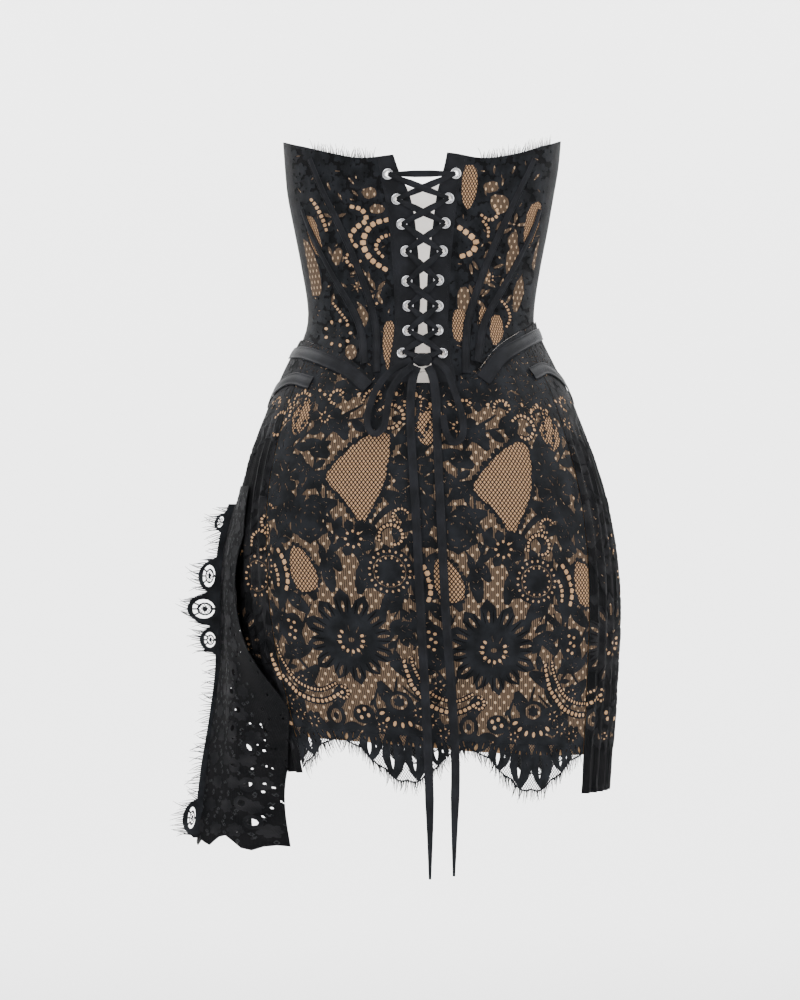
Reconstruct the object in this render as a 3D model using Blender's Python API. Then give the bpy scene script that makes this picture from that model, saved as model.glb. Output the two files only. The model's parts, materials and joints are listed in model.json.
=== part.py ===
"""Strapless corset dress, worn form: cut panels, satin tapes, cut lace, eyelets, lace-up cord and bow.

Metres, +Z up. The laced back faces -Y and the origin is the middle of the waist ring.
Cloth is cut flat in (arc, height), where arc is the way round the hip from the centre back, and is
then laid on the body form.
"""

import bisect
import functools
import math
import random
from typing import NamedTuple

import bmesh
import bpy
from mathutils import Vector
from mathutils.geometry import delaunay_2d_cdt

ROUNDNESS = 2.2  # power of the superellipse that each ring of the body follows
HIP_HEIGHT = -0.250  # ring on which arcs are measured
CLOTH = 0.0012  # thickness of lining, satin and lace walls
SEAM = 0.0006  # arc left free between two panels
LEVEL_SEAM = 0.0005  # height left free between an upper and a lower piece
LACE_LIFT = 0.0022  # outer face of the lace over the lining
TAPE_LIFT = 0.0006  # inner face of a tape over the bodice
TAPE_THICK = 0.0010
HIP_TAPE_LIFT = 0.0031
COLUMN_ANGLE = 10  # degrees between two columns of points round the body
STATION_CLEAR = 0.003  # columns and rows keep this far from a panel's corners
POINT_CLEAR = 0.004  # points of the net inside a panel keep this far from its edges
LACE_CLEAR = 0.0045
LINING_CLEAR = 0.006
BAND_CLEAR = 0.002
NUDGE = 0.0004  # step with which slopes are measured
SPLIT = 1e-7  # flat points closer than this are one


class Ring(NamedTuple):
    """One level of the body form: reach to each side of the origin."""

    height: float
    left: float
    right: float
    back: float
    front: float


RINGS = (
    Ring(0.190, 0.1400, 0.1400, 0.100, 0.108),
    Ring(0.150, 0.1372, 0.1365, 0.097, 0.112),
    Ring(0.122, 0.1345, 0.1318, 0.094, 0.112),
    Ring(0.086, 0.1275, 0.1255, 0.091, 0.108),
    Ring(0.050, 0.1205, 0.1185, 0.088, 0.101),
    Ring(0.014, 0.1146, 0.1128, 0.086, 0.093),
    Ring(-0.006, 0.1145, 0.1121, 0.0856, 0.091),
    Ring(-0.022, 0.1192, 0.1172, 0.088, 0.092),
    Ring(-0.046, 0.1320, 0.1290, 0.096, 0.097),
    Ring(-0.070, 0.1430, 0.1415, 0.105, 0.102),
    Ring(-0.094, 0.1530, 0.1520, 0.113, 0.106),
    Ring(-0.118, 0.1610, 0.1600, 0.119, 0.109),
    Ring(-0.154, 0.1710, 0.1720, 0.125, 0.112),
    Ring(-0.190, 0.1780, 0.1820, 0.127, 0.113),
    Ring(-0.238, 0.1810, 0.1900, 0.126, 0.113),
    Ring(-0.290, 0.1800, 0.1940, 0.122, 0.112),
    Ring(-0.342, 0.1710, 0.1920, 0.117, 0.110),
    Ring(-0.394, 0.1580, 0.1890, 0.111, 0.107),
    Ring(-0.430, 0.1490, 0.1860, 0.107, 0.105),
    Ring(-0.490, 0.1370, 0.1820, 0.101, 0.102),
)


class Edge(NamedTuple):
    """Height of a cut edge at an angle from the centre back, in degrees."""

    angle: float
    height: float


TOP_EDGE = (
    Edge(-180, 0.138),
    Edge(-165, 0.150),
    Edge(-146, 0.168),
    Edge(-120, 0.170),
    Edge(-90, 0.175),
    Edge(-66, 0.1657),
    Edge(-49, 0.156),
    Edge(-34, 0.150),
    Edge(-16, 0.1525),
    Edge(14, 0.1545),
    Edge(34, 0.150),
    Edge(52, 0.1565),
    Edge(66, 0.166),
    Edge(90, 0.176),
    Edge(120, 0.170),
    Edge(146, 0.168),
    Edge(165, 0.150),
    Edge(180, 0.138),
)

WAIST_SEAM = (
    Edge(-180, -0.050),
    Edge(-135, -0.038),
    Edge(-90, -0.026),
    Edge(-77, -0.024),
    Edge(-51, -0.036),
    Edge(-38, -0.047),
    Edge(-26, -0.063),
    Edge(-18, -0.068),
    Edge(0, -0.0695),
    Edge(18, -0.068),
    Edge(25, -0.065),
    Edge(34, -0.050),
    Edge(43, -0.034),
    Edge(57, -0.020),
    Edge(79, -0.006),
    Edge(90, -0.005),
    Edge(135, -0.034),
    Edge(180, -0.050),
)


class Turn(NamedTuple):
    """Angle from the centre back, in degrees, of a seam at a height."""

    height: float
    angle: float


GAP_LEFT = (
    Turn(0.153, -16.5),
    Turn(0.139, -13.7),
    Turn(0.109, -6.2),
    Turn(0.060, -2.3),
    Turn(0.031, -1.1),
    Turn(0.006, -1.0),
    Turn(-0.018, -2.3),
    Turn(-0.037, -3.8),
    Turn(-0.070, -5.0),
)
GAP_RIGHT = (
    Turn(0.155, 13.9),
    Turn(0.139, 12.4),
    Turn(0.109, 8.7),
    Turn(0.060, 5.2),
    Turn(0.031, 3.5),
    Turn(0.006, 3.4),
    Turn(-0.018, 3.7),
    Turn(-0.037, 5.4),
    Turn(-0.070, 6.0),
)
PLACKET_SEAM = (
    Turn(0.153, 25.5),
    Turn(0.109, 21.0),
    Turn(0.060, 18.6),
    Turn(0.006, 17.3),
    Turn(-0.018, 17.3),
    Turn(-0.070, 18.2),
)
INNER_SEAM = (
    Turn(0.155, 60.5),
    Turn(0.112, 52.5),
    Turn(0.069, 43.5),
    Turn(0.025, 35.0),
    Turn(-0.010, 29.0),
    Turn(-0.055, 24.2),
    Turn(-0.070, 23.4),
)
OUTER_SEAM = (
    Turn(0.175, 69.5),
    Turn(0.110, 69.0),
    Turn(0.088, 66.5),
    Turn(0.064, 61.0),
    Turn(0.038, 54.0),
    Turn(-0.004, 40.5),
    Turn(-0.030, 34.5),
    Turn(-0.056, 30.0),
)
SIDE_SEAM_ANGLE = 73.0
FRONT_SIDE_ANGLE = 112.0
FRONT_PANEL_ANGLE = 163.0
CUP_ANGLE = 144.0
CUP_HEIGHT = 0.098
CUP_SPREAD_ANGLE = 21.0
CUP_SPREAD_HEIGHT = 0.040
CUP_DEPTH = 0.017

HEM_HEIGHT = -0.422
HEM_TILT = 0.010  # the hem hangs lower on the right by this share of the sine of the angle
BAND_START_ANGLE = 64.0
BAND_END_ANGLE = 99.0

REPEAT = 0.143  # arc from one scallop of the lace to the next
VALLEY_ARC = 0.030  # arc of the hem's valley nearest the centre back
SCALLOP_MIDDLE = -0.437
SCALLOP_RISE = 0.019
PETALS = 6  # petals in each scallop
PETAL_RISE = 0.0032
FLOWER_ARC = 0.031  # arc from a valley to the flower above it
FLOWER_HEIGHT = -0.319
FLOWER_RING = 0.032
FLOWER_CELLS = 9
FLOWER_TURN = 25  # degrees from level to the first cell of a flower's curl
FLOWER_STEP = 29
CELL = 0.0030
CELL_SIDES = 5

EYELET_HOLE = 0.0026
EYELET_THROAT = 0.00275
EYELET_BARREL = 0.0030
EYELET_RIM = 0.0055
EYELET_CREST = 0.0038
EYELET_RISE = 0.0013
EYELET_MOUTH = 0.0003  # the throat starts to open this far above the rim's foot
EYELET_SIDES = 8
EYELET_LIFT = 0.0007
PLACKET_LIFT = 0.0010
PLACKET_HOLE = 0.0035
CORD_WIDTH = 0.0066
CORD_THICK = 0.0009
TAIL_WIDTH = 0.0085


class Spot(NamedTuple):
    """Place on the back: across from the middle, and height."""

    across: float
    height: float


EYELETS_LEFT = (
    Spot(-0.0336, 0.1338),
    Spot(-0.0249, 0.1097),
    Spot(-0.0201, 0.0856),
    Spot(-0.0162, 0.0596),
    Spot(-0.0152, 0.0306),
    Spot(-0.0140, 0.0064),
    Spot(-0.0142, -0.0180),
    Spot(-0.0196, -0.0404),
)
EYELETS_RIGHT = (
    Spot(0.0318, 0.1345),
    Spot(0.0250, 0.1105),
    Spot(0.0215, 0.0866),
    Spot(0.0188, 0.0596),
    Spot(0.0152, 0.0316),
    Spot(0.0148, 0.0064),
    Spot(0.0146, -0.0175),
    Spot(0.0187, -0.0406),
)


class Finish(NamedTuple):
    """Colour (linear), roughness and metallic value of a material."""

    name: str
    colour: tuple
    roughness: float
    metallic: float


LACE = Finish("black_lace", (0.009, 0.010, 0.012), 0.85, 0.0)
SATIN = Finish("black_satin", (0.015, 0.015, 0.018), 0.38, 0.0)
NUDE = Finish("nude_lining", (0.560, 0.370, 0.210), 0.75, 0.0)
SILVER = Finish("silver_metal", (0.800, 0.800, 0.790), 0.18, 1.0)


def clear_scene():
    """Remove every object of the open scene."""
    for item in list(bpy.data.objects):
        bpy.data.objects.remove(item, do_unlink=True)


@functools.cache
def material(finish):
    """Principled material of a finish."""
    made = bpy.data.materials.new(finish.name)
    made.use_nodes = True
    shader = made.node_tree.nodes["Principled BSDF"]
    shader.inputs["Base Color"].default_value = (*finish.colour, 1.0)
    shader.inputs["Roughness"].default_value = finish.roughness
    shader.inputs["Metallic"].default_value = finish.metallic
    return made


def add_piece(name, mesh_data, finish, smooth=True):
    """Put a finished bmesh in the scene as one named piece."""
    bmesh.ops.recalc_face_normals(mesh_data, faces=mesh_data.faces)
    mesh = bpy.data.meshes.new(name)
    mesh_data.to_mesh(mesh)
    mesh_data.free()
    if smooth:
        mesh.shade_smooth()
        mesh.set_sharp_from_angle(angle=math.radians(40))
    mesh.materials.append(material(finish))
    piece = bpy.data.objects.new(name, mesh)
    bpy.context.scene.collection.objects.link(piece)
    return piece


def curve_value(keys, values, where):
    """Value at one place of a smooth curve through (keys, values), keys rising."""
    where = min(max(where, keys[0]), keys[-1])
    index = min(max(bisect.bisect_right(keys, where) - 1, 0), len(keys) - 2)
    slopes = []
    for knot in (index, index + 1):
        before = max(knot - 1, 0)
        after = min(knot + 1, len(keys) - 1)
        slopes.append((values[after] - values[before]) / (keys[after] - keys[before]))
    span = keys[index + 1] - keys[index]
    share = (where - keys[index]) / span
    rise = share * share * (3 - 2 * share)
    value = values[index] * (1 - rise) + values[index + 1] * rise
    value += span * slopes[0] * share * (1 - share) ** 2
    return value - span * slopes[1] * share**2 * (1 - share)


@functools.cache
def columns_of(rows):
    """A table's columns, in the order that makes the first one rise."""
    ordered = sorted(rows)
    return tuple(tuple(column) for column in zip(*ordered))


@functools.lru_cache(maxsize=None)
def row_at(rows, key):
    """The other columns of a table at a value of its first column."""
    first, *others = columns_of(rows)
    return tuple(curve_value(first, column, key) for column in others)


def round_angle(degree):
    """The same angle between -180 and 180 degrees."""
    return (degree + 180) % 360 - 180


def cup_reach(angle, height):
    """How far the front cups stand out at a place."""
    off_angle = (abs(round_angle(math.degrees(angle))) - CUP_ANGLE) / CUP_SPREAD_ANGLE
    off_height = (height - CUP_HEIGHT) / CUP_SPREAD_HEIGHT
    return CUP_DEPTH * math.exp(-(off_angle**2) - off_height**2)


def body(angle, height):
    """Point of the body form at an angle from the centre back, in radians."""
    left, right, back, front = row_at(RINGS, round(height, 7))
    half = (left + right) / 2
    depth = back if math.cos(angle) > 0 else front
    power = abs(math.cos(angle) / depth) ** ROUNDNESS + abs(math.sin(angle) / half) ** ROUNDNESS
    reach = power ** (-1 / ROUNDNESS) + cup_reach(angle, height)
    middle = (right - left) / 2
    return Vector((middle + reach * math.sin(angle), -reach * math.cos(angle), height))


def arc_table():
    """Arcs round the hip at each whole degree, past the centre front on both sides."""
    degrees = list(range(-200, 281))
    points = [body(math.radians(degree), HIP_HEIGHT) for degree in degrees]
    arcs = [0.0]
    for before, after in zip(points, points[1:]):
        arcs.append(arcs[-1] + (after - before).length)
    zero = arcs[degrees.index(0)]
    return degrees, [arc - zero for arc in arcs]


DEGREES, ARCS = arc_table()


def arc_of(degree):
    """Arc round the hip at an angle in degrees."""
    index = min(max(math.floor(degree) - DEGREES[0], 0), len(DEGREES) - 2)
    share = degree - DEGREES[index]
    return ARCS[index] * (1 - share) + ARCS[index + 1] * share


def angle_of(arc):
    """Angle in degrees at an arc round the hip."""
    index = min(max(bisect.bisect_right(ARCS, arc) - 1, 0), len(ARCS) - 2)
    share = (arc - ARCS[index]) / (ARCS[index + 1] - ARCS[index])
    return DEGREES[index] + share


def skin(arc, height):
    """Point of the body form at a place of the flat cut."""
    return body(math.radians(angle_of(arc)), height)


def normal_of(surface, arc, height):
    """Direction away from a surface."""
    across = surface(arc + NUDGE, height) - surface(arc - NUDGE, height)
    up = surface(arc, height + NUDGE) - surface(arc, height - NUDGE)
    return across.cross(up).normalized()


def lifted(surface, arc, height, out):
    """Point at a distance out from a surface."""
    return surface(arc, height) + normal_of(surface, arc, height) * out


def arc_across(across, height):
    """Arc of the back's point that lies a distance across from the middle."""
    left, right, back, _front = row_at(RINGS, round(height, 7))
    side = across - (right - left) / 2
    share = 1 - (abs(side) / ((left + right) / 2)) ** ROUNDNESS
    depth = back * share ** (1 / ROUNDNESS)
    return arc_of(math.degrees(math.atan2(side, depth)))


def top_edge(arc):
    """Height of the dress's upper edge."""
    return row_at(TOP_EDGE, round(round_angle(angle_of(arc)), 5))[0]


def waist_seam(arc):
    """Height of the seam between bodice and skirt, straight from column to column."""
    degree = angle_of(arc)
    before = math.floor(degree / COLUMN_ANGLE) * COLUMN_ANGLE
    share = (arc - arc_of(before)) / (arc_of(before + COLUMN_ANGLE) - arc_of(before))
    low, high = (row_at(WAIST_SEAM, round_angle(at))[0] for at in (before, before + COLUMN_ANGLE))
    return low * (1 - share) + high * share


def hem_drop(arc):
    """How much lower the hem hangs at an arc."""
    return -HEM_TILT * math.sin(math.radians(angle_of(arc)))


def lining_hem(arc):
    """Height of the lining's lower edge."""
    return HEM_HEIGHT + hem_drop(arc)


def scallop(arc):
    """Height of the lace's scalloped edge, with its petals."""
    turn = 2 * math.pi * (arc - VALLEY_ARC) / REPEAT
    petal = PETAL_RISE * abs(math.sin(PETALS * turn / 2))
    return SCALLOP_MIDDLE + hem_drop(arc) + SCALLOP_RISE * math.cos(turn) - petal


def seam_line(rows, side=1, shift=0.0):
    """A seam as a function from height to arc."""
    return lambda height: arc_of(side * row_at(rows, round(height, 7))[0]) + shift


def straight_line(degree, shift=0.0):
    """A seam at one angle as a function from height to arc."""
    return level_line(arc_of(degree) + shift)


def level_line(value):
    """A cut edge that keeps one value all along."""
    return lambda where: value


def moved_in(line, shift):
    """A seam moved sideways."""
    return lambda height: line(height) + shift


def shifted(edge, shift):
    """A cut edge moved up or down."""
    return lambda arc: edge(arc) + shift


def corner(side, level):
    """Where a side line meets a level line."""
    height = level(side(0.0))
    for _ in range(12):
        height = level(side(height))
    return side(height), height


def stations(values, first, last):
    """The values between first and last, clear of both, in the order from first to last."""
    low, high = min(first, last) + STATION_CLEAR, max(first, last) - STATION_CLEAR
    kept = sorted(value for value in values if low < value < high)
    return kept if first < last else kept[::-1]


def outline(left, right, bottom, top, columns, rows):
    """Cut outline of a panel, anticlockwise, with points where the shared columns and rows meet it."""
    low_left, low_right = corner(left, bottom), corner(right, bottom)
    high_left, high_right = corner(left, top), corner(right, top)
    points = [low_left]
    points += [(arc, bottom(arc)) for arc in stations(columns, low_left[0], low_right[0])]
    points.append(low_right)
    points += [(right(height), height) for height in stations(rows, low_right[1], high_right[1])]
    points.append(high_right)
    points += [(arc, top(arc)) for arc in stations(columns, high_right[0], high_left[0])]
    points.append(high_left)
    points += [(left(height), height) for height in stations(rows, high_left[1], low_left[1])]
    return points


def ellipse(arc, height, wide, tall, sides=6, turn=0.0):
    """Hole with a few sides, anticlockwise."""
    points = []
    for index in range(sides):
        step = 2 * math.pi * index / sides
        across, up = wide * math.cos(step), tall * math.sin(step)
        points.append(
            (
                arc + across * math.cos(turn) - up * math.sin(turn),
                height + across * math.sin(turn) + up * math.cos(turn),
            )
        )
    return points


def distance_to(point, start, end):
    """Distance from a flat point to a flat edge."""
    run = (end[0] - start[0], end[1] - start[1])
    length = run[0] ** 2 + run[1] ** 2
    share = ((point[0] - start[0]) * run[0] + (point[1] - start[1]) * run[1]) / length
    share = min(max(share, 0.0), 1.0)
    return math.dist(point, (start[0] + run[0] * share, start[1] + run[1] * share))


def inside(point, loop):
    """Whether a flat point lies within a loop."""
    crossings = 0
    for start, end in zip(loop, loop[1:] + loop[:1]):
        if (start[1] > point[1]) != (end[1] > point[1]):
            share = (point[1] - start[1]) / (end[1] - start[1])
            crossings += point[0] < start[0] + (end[0] - start[0]) * share
    return crossings % 2 == 1


def free_points(loops, arcs, heights, clear):
    """Points of a net of arcs and heights that lie in the cloth, clear of its edges."""
    edges = [pair for loop in loops for pair in zip(loop, loop[1:] + loop[:1])]
    found = []
    for arc in arcs:
        for height in heights:
            point = (arc, height)
            if not inside(point, loops[0]) or any(inside(point, hole) for hole in loops[1:]):
                continue
            if min(distance_to(point, *edge) for edge in edges) > clear:
                found.append(point)
    return found


def cut_faces(loops, points):
    """Flat points and triangles of a cloth with holes: the first loop is its outline."""
    flat, faces = [], []
    for loop in loops:
        faces.append(list(range(len(flat), len(flat) + len(loop))))
        flat += loop
    flat += points
    made = delaunay_2d_cdt([Vector(point) for point in flat], [], faces, 0, SPLIT)
    corners, _, triangles, _, _, sources = made
    kept = [tuple(tri) for tri, source in zip(triangles, sources) if list(source) == [0]]
    return [tuple(point) for point in corners], kept


def cloth(name, finish, loops, surface, outer, thick, arcs=(), heights=(), clear=POINT_CLEAR, more=()):
    """Closed wall of cloth, cut flat from its loops and laid on a surface."""
    points = free_points(loops, arcs, heights, clear)
    for more_arcs, more_heights in more:
        points += free_points(loops, more_arcs, more_heights, clear)
    flat, triangles = cut_faces(loops, points)
    mesh = bmesh.new()
    used = sorted({index for triangle in triangles for index in triangle})
    faces = {}
    for index in used:
        arc, height = flat[index]
        point, normal = surface(arc, height), normal_of(surface, arc, height)
        faces[index] = (
            mesh.verts.new(point + normal * outer),
            mesh.verts.new(point + normal * (outer - thick)),
        )
    edges = {}
    for triangle in triangles:
        mesh.faces.new([faces[index][0] for index in triangle])
        mesh.faces.new([faces[index][1] for index in reversed(triangle)])
        for start, end in zip(triangle, triangle[1:] + triangle[:1]):
            edges[start, end] = edges.get((start, end), 0) + 1
    for start, end in edges:
        if (end, start) not in edges:
            mesh.faces.new((faces[end][0], faces[start][0], faces[start][1], faces[end][1]))
    return add_piece(name, mesh, finish)


COLUMNS = [arc_of(degree) for degree in range(-180, 280, COLUMN_ANGLE)]
ROWS = (
    0.130, 0.104, 0.078, 0.052, 0.030, 0.010, -0.006, -0.018, -0.030, -0.044, -0.060, -0.080,
    -0.110, -0.150, -0.205, -0.275, -0.345, -0.390,
)


def make_bodice():
    """Bodice panels: three each side of the back, black side panels and a front in three."""
    low = shifted(waist_seam, LEVEL_SEAM)
    gap = SEAM / 2
    for word, side in (("left", -1), ("right", 1)):
        seams = (
            seam_line(PLACKET_SEAM, side),
            seam_line(INNER_SEAM, side),
            seam_line(OUTER_SEAM, side),
            straight_line(side * SIDE_SEAM_ANGLE),
            straight_line(side * FRONT_SIDE_ANGLE),
            straight_line(side * FRONT_PANEL_ANGLE),
        )
        names = ("centre_back", "mid_back", "back_gusset", "side_panel", "front_cup")
        for name, near, far in zip(names, seams, seams[1:]):
            start, end = (near, far) if side > 0 else (far, near)
            left, right = moved_in(start, gap), moved_in(end, -gap)
            loop = outline(left, right, low, top_edge, COLUMNS, ROWS)
            finish = SATIN if name == "side_panel" else NUDE
            cloth(f"bodice_{name}_{word}", finish, [loop], skin, 0.0, CLOTH, COLUMNS, ROWS)
    left = straight_line(FRONT_PANEL_ANGLE, gap)
    right = straight_line(360 - FRONT_PANEL_ANGLE, -gap)
    loop = outline(left, right, low, top_edge, COLUMNS, ROWS)
    cloth("bodice_centre_front", NUDE, [loop], skin, 0.0, CLOTH, COLUMNS, ROWS)


def placket_holes(spots):
    """Holes for the eyelets, round on the body."""
    holes = []
    for spot in spots:
        hole = []
        for across, height in ellipse(spot.across, spot.height, PLACKET_HOLE, PLACKET_HOLE, 8):
            hole.append((arc_across(across, height), height))
        holes.append(hole)
    return holes


PLACKET_COLUMNS = (-20, -10, 10, 20)
PLACKET_ROWS = (*ROWS[:6], 0.0, -0.006, -0.012, -0.018, -0.024, -0.030, -0.037, *ROWS[9:])


def make_plackets():
    """Satin strips that carry the eyelets."""
    gap = SEAM / 2
    low = shifted(waist_seam, LEVEL_SEAM)
    columns = [arc_of(degree) for degree in PLACKET_COLUMNS]
    lines = {
        "left": (seam_line(PLACKET_SEAM, -1, gap), seam_line(GAP_LEFT), EYELETS_LEFT),
        "right": (seam_line(GAP_RIGHT), seam_line(PLACKET_SEAM, 1, -gap), EYELETS_RIGHT),
    }
    for word, (left, right, spots) in lines.items():
        loop = outline(left, right, low, top_edge, columns, PLACKET_ROWS)
        cloth(
            f"placket_{word}", SATIN, [loop, *placket_holes(spots)], skin,
            PLACKET_LIFT, PLACKET_LIFT + CLOTH, columns, PLACKET_ROWS,
        )


def frame_at(spot):
    """Place on the back with its directions across, up and outwards."""
    arc = arc_across(spot.across, spot.height)
    normal = normal_of(skin, arc, spot.height)
    up = Vector((0, 0, 1))
    up = (up - normal * up.dot(normal)).normalized()
    return skin(arc, spot.height), up.cross(normal), up, normal


def make_eyelet(name, spot):
    """Rolled metal eyelet: a barrel through the placket under a round rim."""
    base = PLACKET_LIFT + EYELET_LIFT
    profile = (
        (EYELET_HOLE, -CLOTH),
        (EYELET_BARREL, -CLOTH),
        (EYELET_BARREL, base),
        (EYELET_RIM, base),
        (EYELET_CREST, base + EYELET_RISE),
        (EYELET_THROAT, base + EYELET_MOUTH),
    )
    middle, across, up, normal = frame_at(spot)
    mesh = bmesh.new()
    rings = []
    for index in range(EYELET_SIDES):
        turn = 2 * math.pi * index / EYELET_SIDES
        way = across * math.cos(turn) + up * math.sin(turn)
        rings.append([mesh.verts.new(middle + way * reach + normal * out) for reach, out in profile])
    for first, second in zip(rings, rings[1:] + rings[:1]):
        for low in range(len(profile)):
            high = (low + 1) % len(profile)
            mesh.faces.new((first[low], second[low], second[high], first[high]))
    add_piece(name, mesh, SILVER)


def strip(sections):
    """Closed bar through four-cornered sections."""
    mesh = bmesh.new()
    rings = [[mesh.verts.new(point) for point in section] for section in sections]
    for first, second in zip(rings, rings[1:]):
        for low in range(4):
            high = (low + 1) % 4
            mesh.faces.new((first[low], first[high], second[high], second[low]))
    mesh.faces.new(reversed(rings[0]))
    mesh.faces.new(rings[-1])
    return mesh


def ribbon_sections(points, normals, widths, thick):
    """Sections of a flat ribbon whose inner face follows the points."""
    sections = []
    for index, point in enumerate(points):
        ahead = points[min(index + 1, len(points) - 1)]
        behind = points[max(index - 1, 0)]
        side = (ahead - behind).normalized().cross(normals[index]).normalized() * widths[index] / 2
        top = normals[index] * thick
        sections.append((point - side, point + side, point + side + top, point - side + top))
    return sections


def smooth_route(points, count):
    """Points along a smooth curve through a route's own points."""
    lengths = [0.0]
    for before, after in zip(points, points[1:]):
        lengths.append(lengths[-1] + math.dist(before, after))
    columns = list(zip(*points))
    route = []
    for index in range(count):
        where = lengths[-1] * index / (count - 1)
        route.append(tuple(curve_value(lengths, column, where) for column in columns))
    return route


def flat_step(arc, height, direction):
    """Flat step that moves a point of the body form along a direction, per metre."""
    across = (skin(arc + NUDGE, height) - skin(arc - NUDGE, height)) / (2 * NUDGE)
    up = (skin(arc, height + NUDGE) - skin(arc, height - NUDGE)) / (2 * NUDGE)
    return direction.dot(across) / across.length_squared, direction.dot(up) / up.length_squared


def make_tape(name, places, width, lift):
    """Flat tape laid on the body along flat places, three points wide."""
    mesh = bmesh.new()
    rings = []
    for index, (arc, height) in enumerate(places):
        ahead = skin(*places[min(index + 1, len(places) - 1)])
        behind = skin(*places[max(index - 1, 0)])
        side = (ahead - behind).normalized().cross(normal_of(skin, arc, height)).normalized()
        step = flat_step(arc, height, side * width / 2)
        spots = [(arc + step[0] * way, height + step[1] * way) for way in (-1, 0, 1)]
        inner = [lifted(skin, *spot, lift) for spot in spots]
        outer = [lifted(skin, *spot, lift + TAPE_THICK) for spot in reversed(spots)]
        rings.append([mesh.verts.new(point) for point in inner + outer])
    for first, second in zip(rings, rings[1:]):
        for low in range(6):
            high = (low + 1) % 6
            mesh.faces.new((first[low], first[high], second[high], second[low]))
    mesh.faces.new(reversed(rings[0]))
    mesh.faces.new(rings[-1])
    add_piece(name, mesh, SATIN)


BONE_WIDTH = 0.0078
HIP_TAPE_WIDTH = 0.0130
HIP_TAPE_POINTS = 13
BONE_END = 0.0065  # the tapes end this far above the waist seam
HIP_TAPE_UPPER = {
    "left": (Turn(-0.0375, -88), Turn(-0.0385, -68), Turn(-0.0465, -52), Turn(-0.0580, -38), Turn(-0.0740, -27)),
    "right": (Turn(-0.0170, 88), Turn(-0.0215, 72), Turn(-0.0320, 56), Turn(-0.0450, 43), Turn(-0.0670, 31)),
}
HIP_TAPE_LOWER = {
    "left": (Turn(-0.0860, -94), Turn(-0.0700, -78), Turn(-0.0640, -67), Turn(-0.0690, -55)),
    "right": (Turn(-0.0830, 94), Turn(-0.0640, 80), Turn(-0.0540, 68), Turn(-0.0600, 57)),
}


def make_tapes():
    """Boning tapes over the back seams, and curved satin tapes at the hips."""
    for word, side in (("left", -1), ("right", 1)):
        for name, rows, top in (("inner", INNER_SEAM, 0.152), ("outer", OUTER_SEAM, 0.104)):
            line = seam_line(rows, side)
            low = corner(line, shifted(waist_seam, BONE_END))[1]
            heights = [top, *stations(ROWS, top, low), low]
            route = [(line(height), height) for height in heights]
            make_tape(f"boning_tape_{name}_{word}", route, BONE_WIDTH, TAPE_LIFT)
        for name, tables in (("upper", HIP_TAPE_UPPER), ("lower", HIP_TAPE_LOWER)):
            route = [(arc_of(turn.angle), turn.height) for turn in tables[word]]
            places = smooth_route(route, HIP_TAPE_POINTS)
            make_tape(f"hip_tape_{name}_{word}", places, HIP_TAPE_WIDTH, HIP_TAPE_LIFT)


def make_skirt_lining():
    """Nude lining of the skirt in four quarters."""
    high = shifted(waist_seam, -LEVEL_SEAM)
    gap = SEAM / 2
    quarters = (("back_left", -90), ("back_right", 0), ("front_right", 90), ("front_left", 180))
    for word, start in quarters:
        end = start + 90
        left, right = straight_line(start, gap), straight_line(end, -gap)
        loop = outline(left, right, lining_hem, high, COLUMNS, ROWS)
        cloth(f"skirt_lining_{word}", NUDE, [loop], skin, 0.0, CLOTH, COLUMNS, ROWS, LINING_CLEAR)


def repeats(start, end):
    """Arcs of the hem's valleys whose repeats reach into a stretch."""
    first = math.floor((start - VALLEY_ARC) / REPEAT)
    last = math.ceil((end - VALLEY_ARC) / REPEAT)
    return [VALLEY_ARC + REPEAT * index for index in range(first, last + 1)]


def clear_of(holes, start, end, margin):
    """The holes that keep clear of a panel's two sides."""
    kept = []
    for hole in holes:
        arcs = [point[0] for point in hole]
        if min(arcs) > start + margin and max(arcs) < end - margin:
            kept.append(hole)
    return kept


SIDE_MARGIN = 0.004
FAN_CELLS = 5
FAN_ARC = REPEAT * 0.62
FAN_HEIGHT = -0.368
FAN_REACH = 0.022
FAN_TURN = 205
FAN_STEP = 32


def skirt_holes(start, end):
    """The larger cells of the lace: a curl round each flower, and an arc of cells above the hem."""
    holes = []
    for valley in repeats(start, end):
        arc = valley + FLOWER_ARC
        for index in range(FLOWER_CELLS):
            turn = math.radians(FLOWER_TURN + FLOWER_STEP * index)
            middle = arc + FLOWER_RING * math.cos(turn)
            level = FLOWER_HEIGHT + FLOWER_RING * math.sin(turn) + hem_drop(middle)
            holes.append(ellipse(middle, level, CELL, CELL, CELL_SIDES, turn))
        for index in range(FAN_CELLS):
            turn = math.radians(FAN_TURN + FAN_STEP * index)
            middle = valley + FAN_ARC + FAN_REACH * math.cos(turn)
            level = FAN_HEIGHT + FAN_REACH * math.sin(turn) + hem_drop(middle)
            holes.append(ellipse(middle, level, CELL, CELL, CELL_SIDES, turn))
    return clear_of(holes, start, end, SIDE_MARGIN)


LACE_JOIN = 0.010  # the scalloped border is joined on this far above the lining's hem
PETAL_HOLE = 0.0042  # half the width of a petal's hole
PETAL_EDGE = 0.0075  # cloth between a petal's hole and the hem
PETAL_HEAD = 0.0035  # cloth between a petal's hole and the border's join
PETAL_LEAST = 0.006
PETAL_TALLEST = 0.0085


def border_join(arc):
    """Height of the join between the skirt's lace and its scalloped border."""
    return lining_hem(arc) + LACE_JOIN


def hem_holes(start, end):
    """Teardrop gaps, one in each petal of the scalloped border."""
    holes = []
    for valley in repeats(start, end):
        for index in range(PETALS):
            arc = valley + REPEAT * (index + 0.5) / PETALS
            low, high = scallop(arc) + PETAL_EDGE, border_join(arc) - PETAL_HEAD
            if high - low > PETAL_LEAST:
                tall = min((high - low) / 2, PETAL_TALLEST)
                holes.append(ellipse(arc, low + tall, PETAL_HOLE, tall))
    return holes


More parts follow.
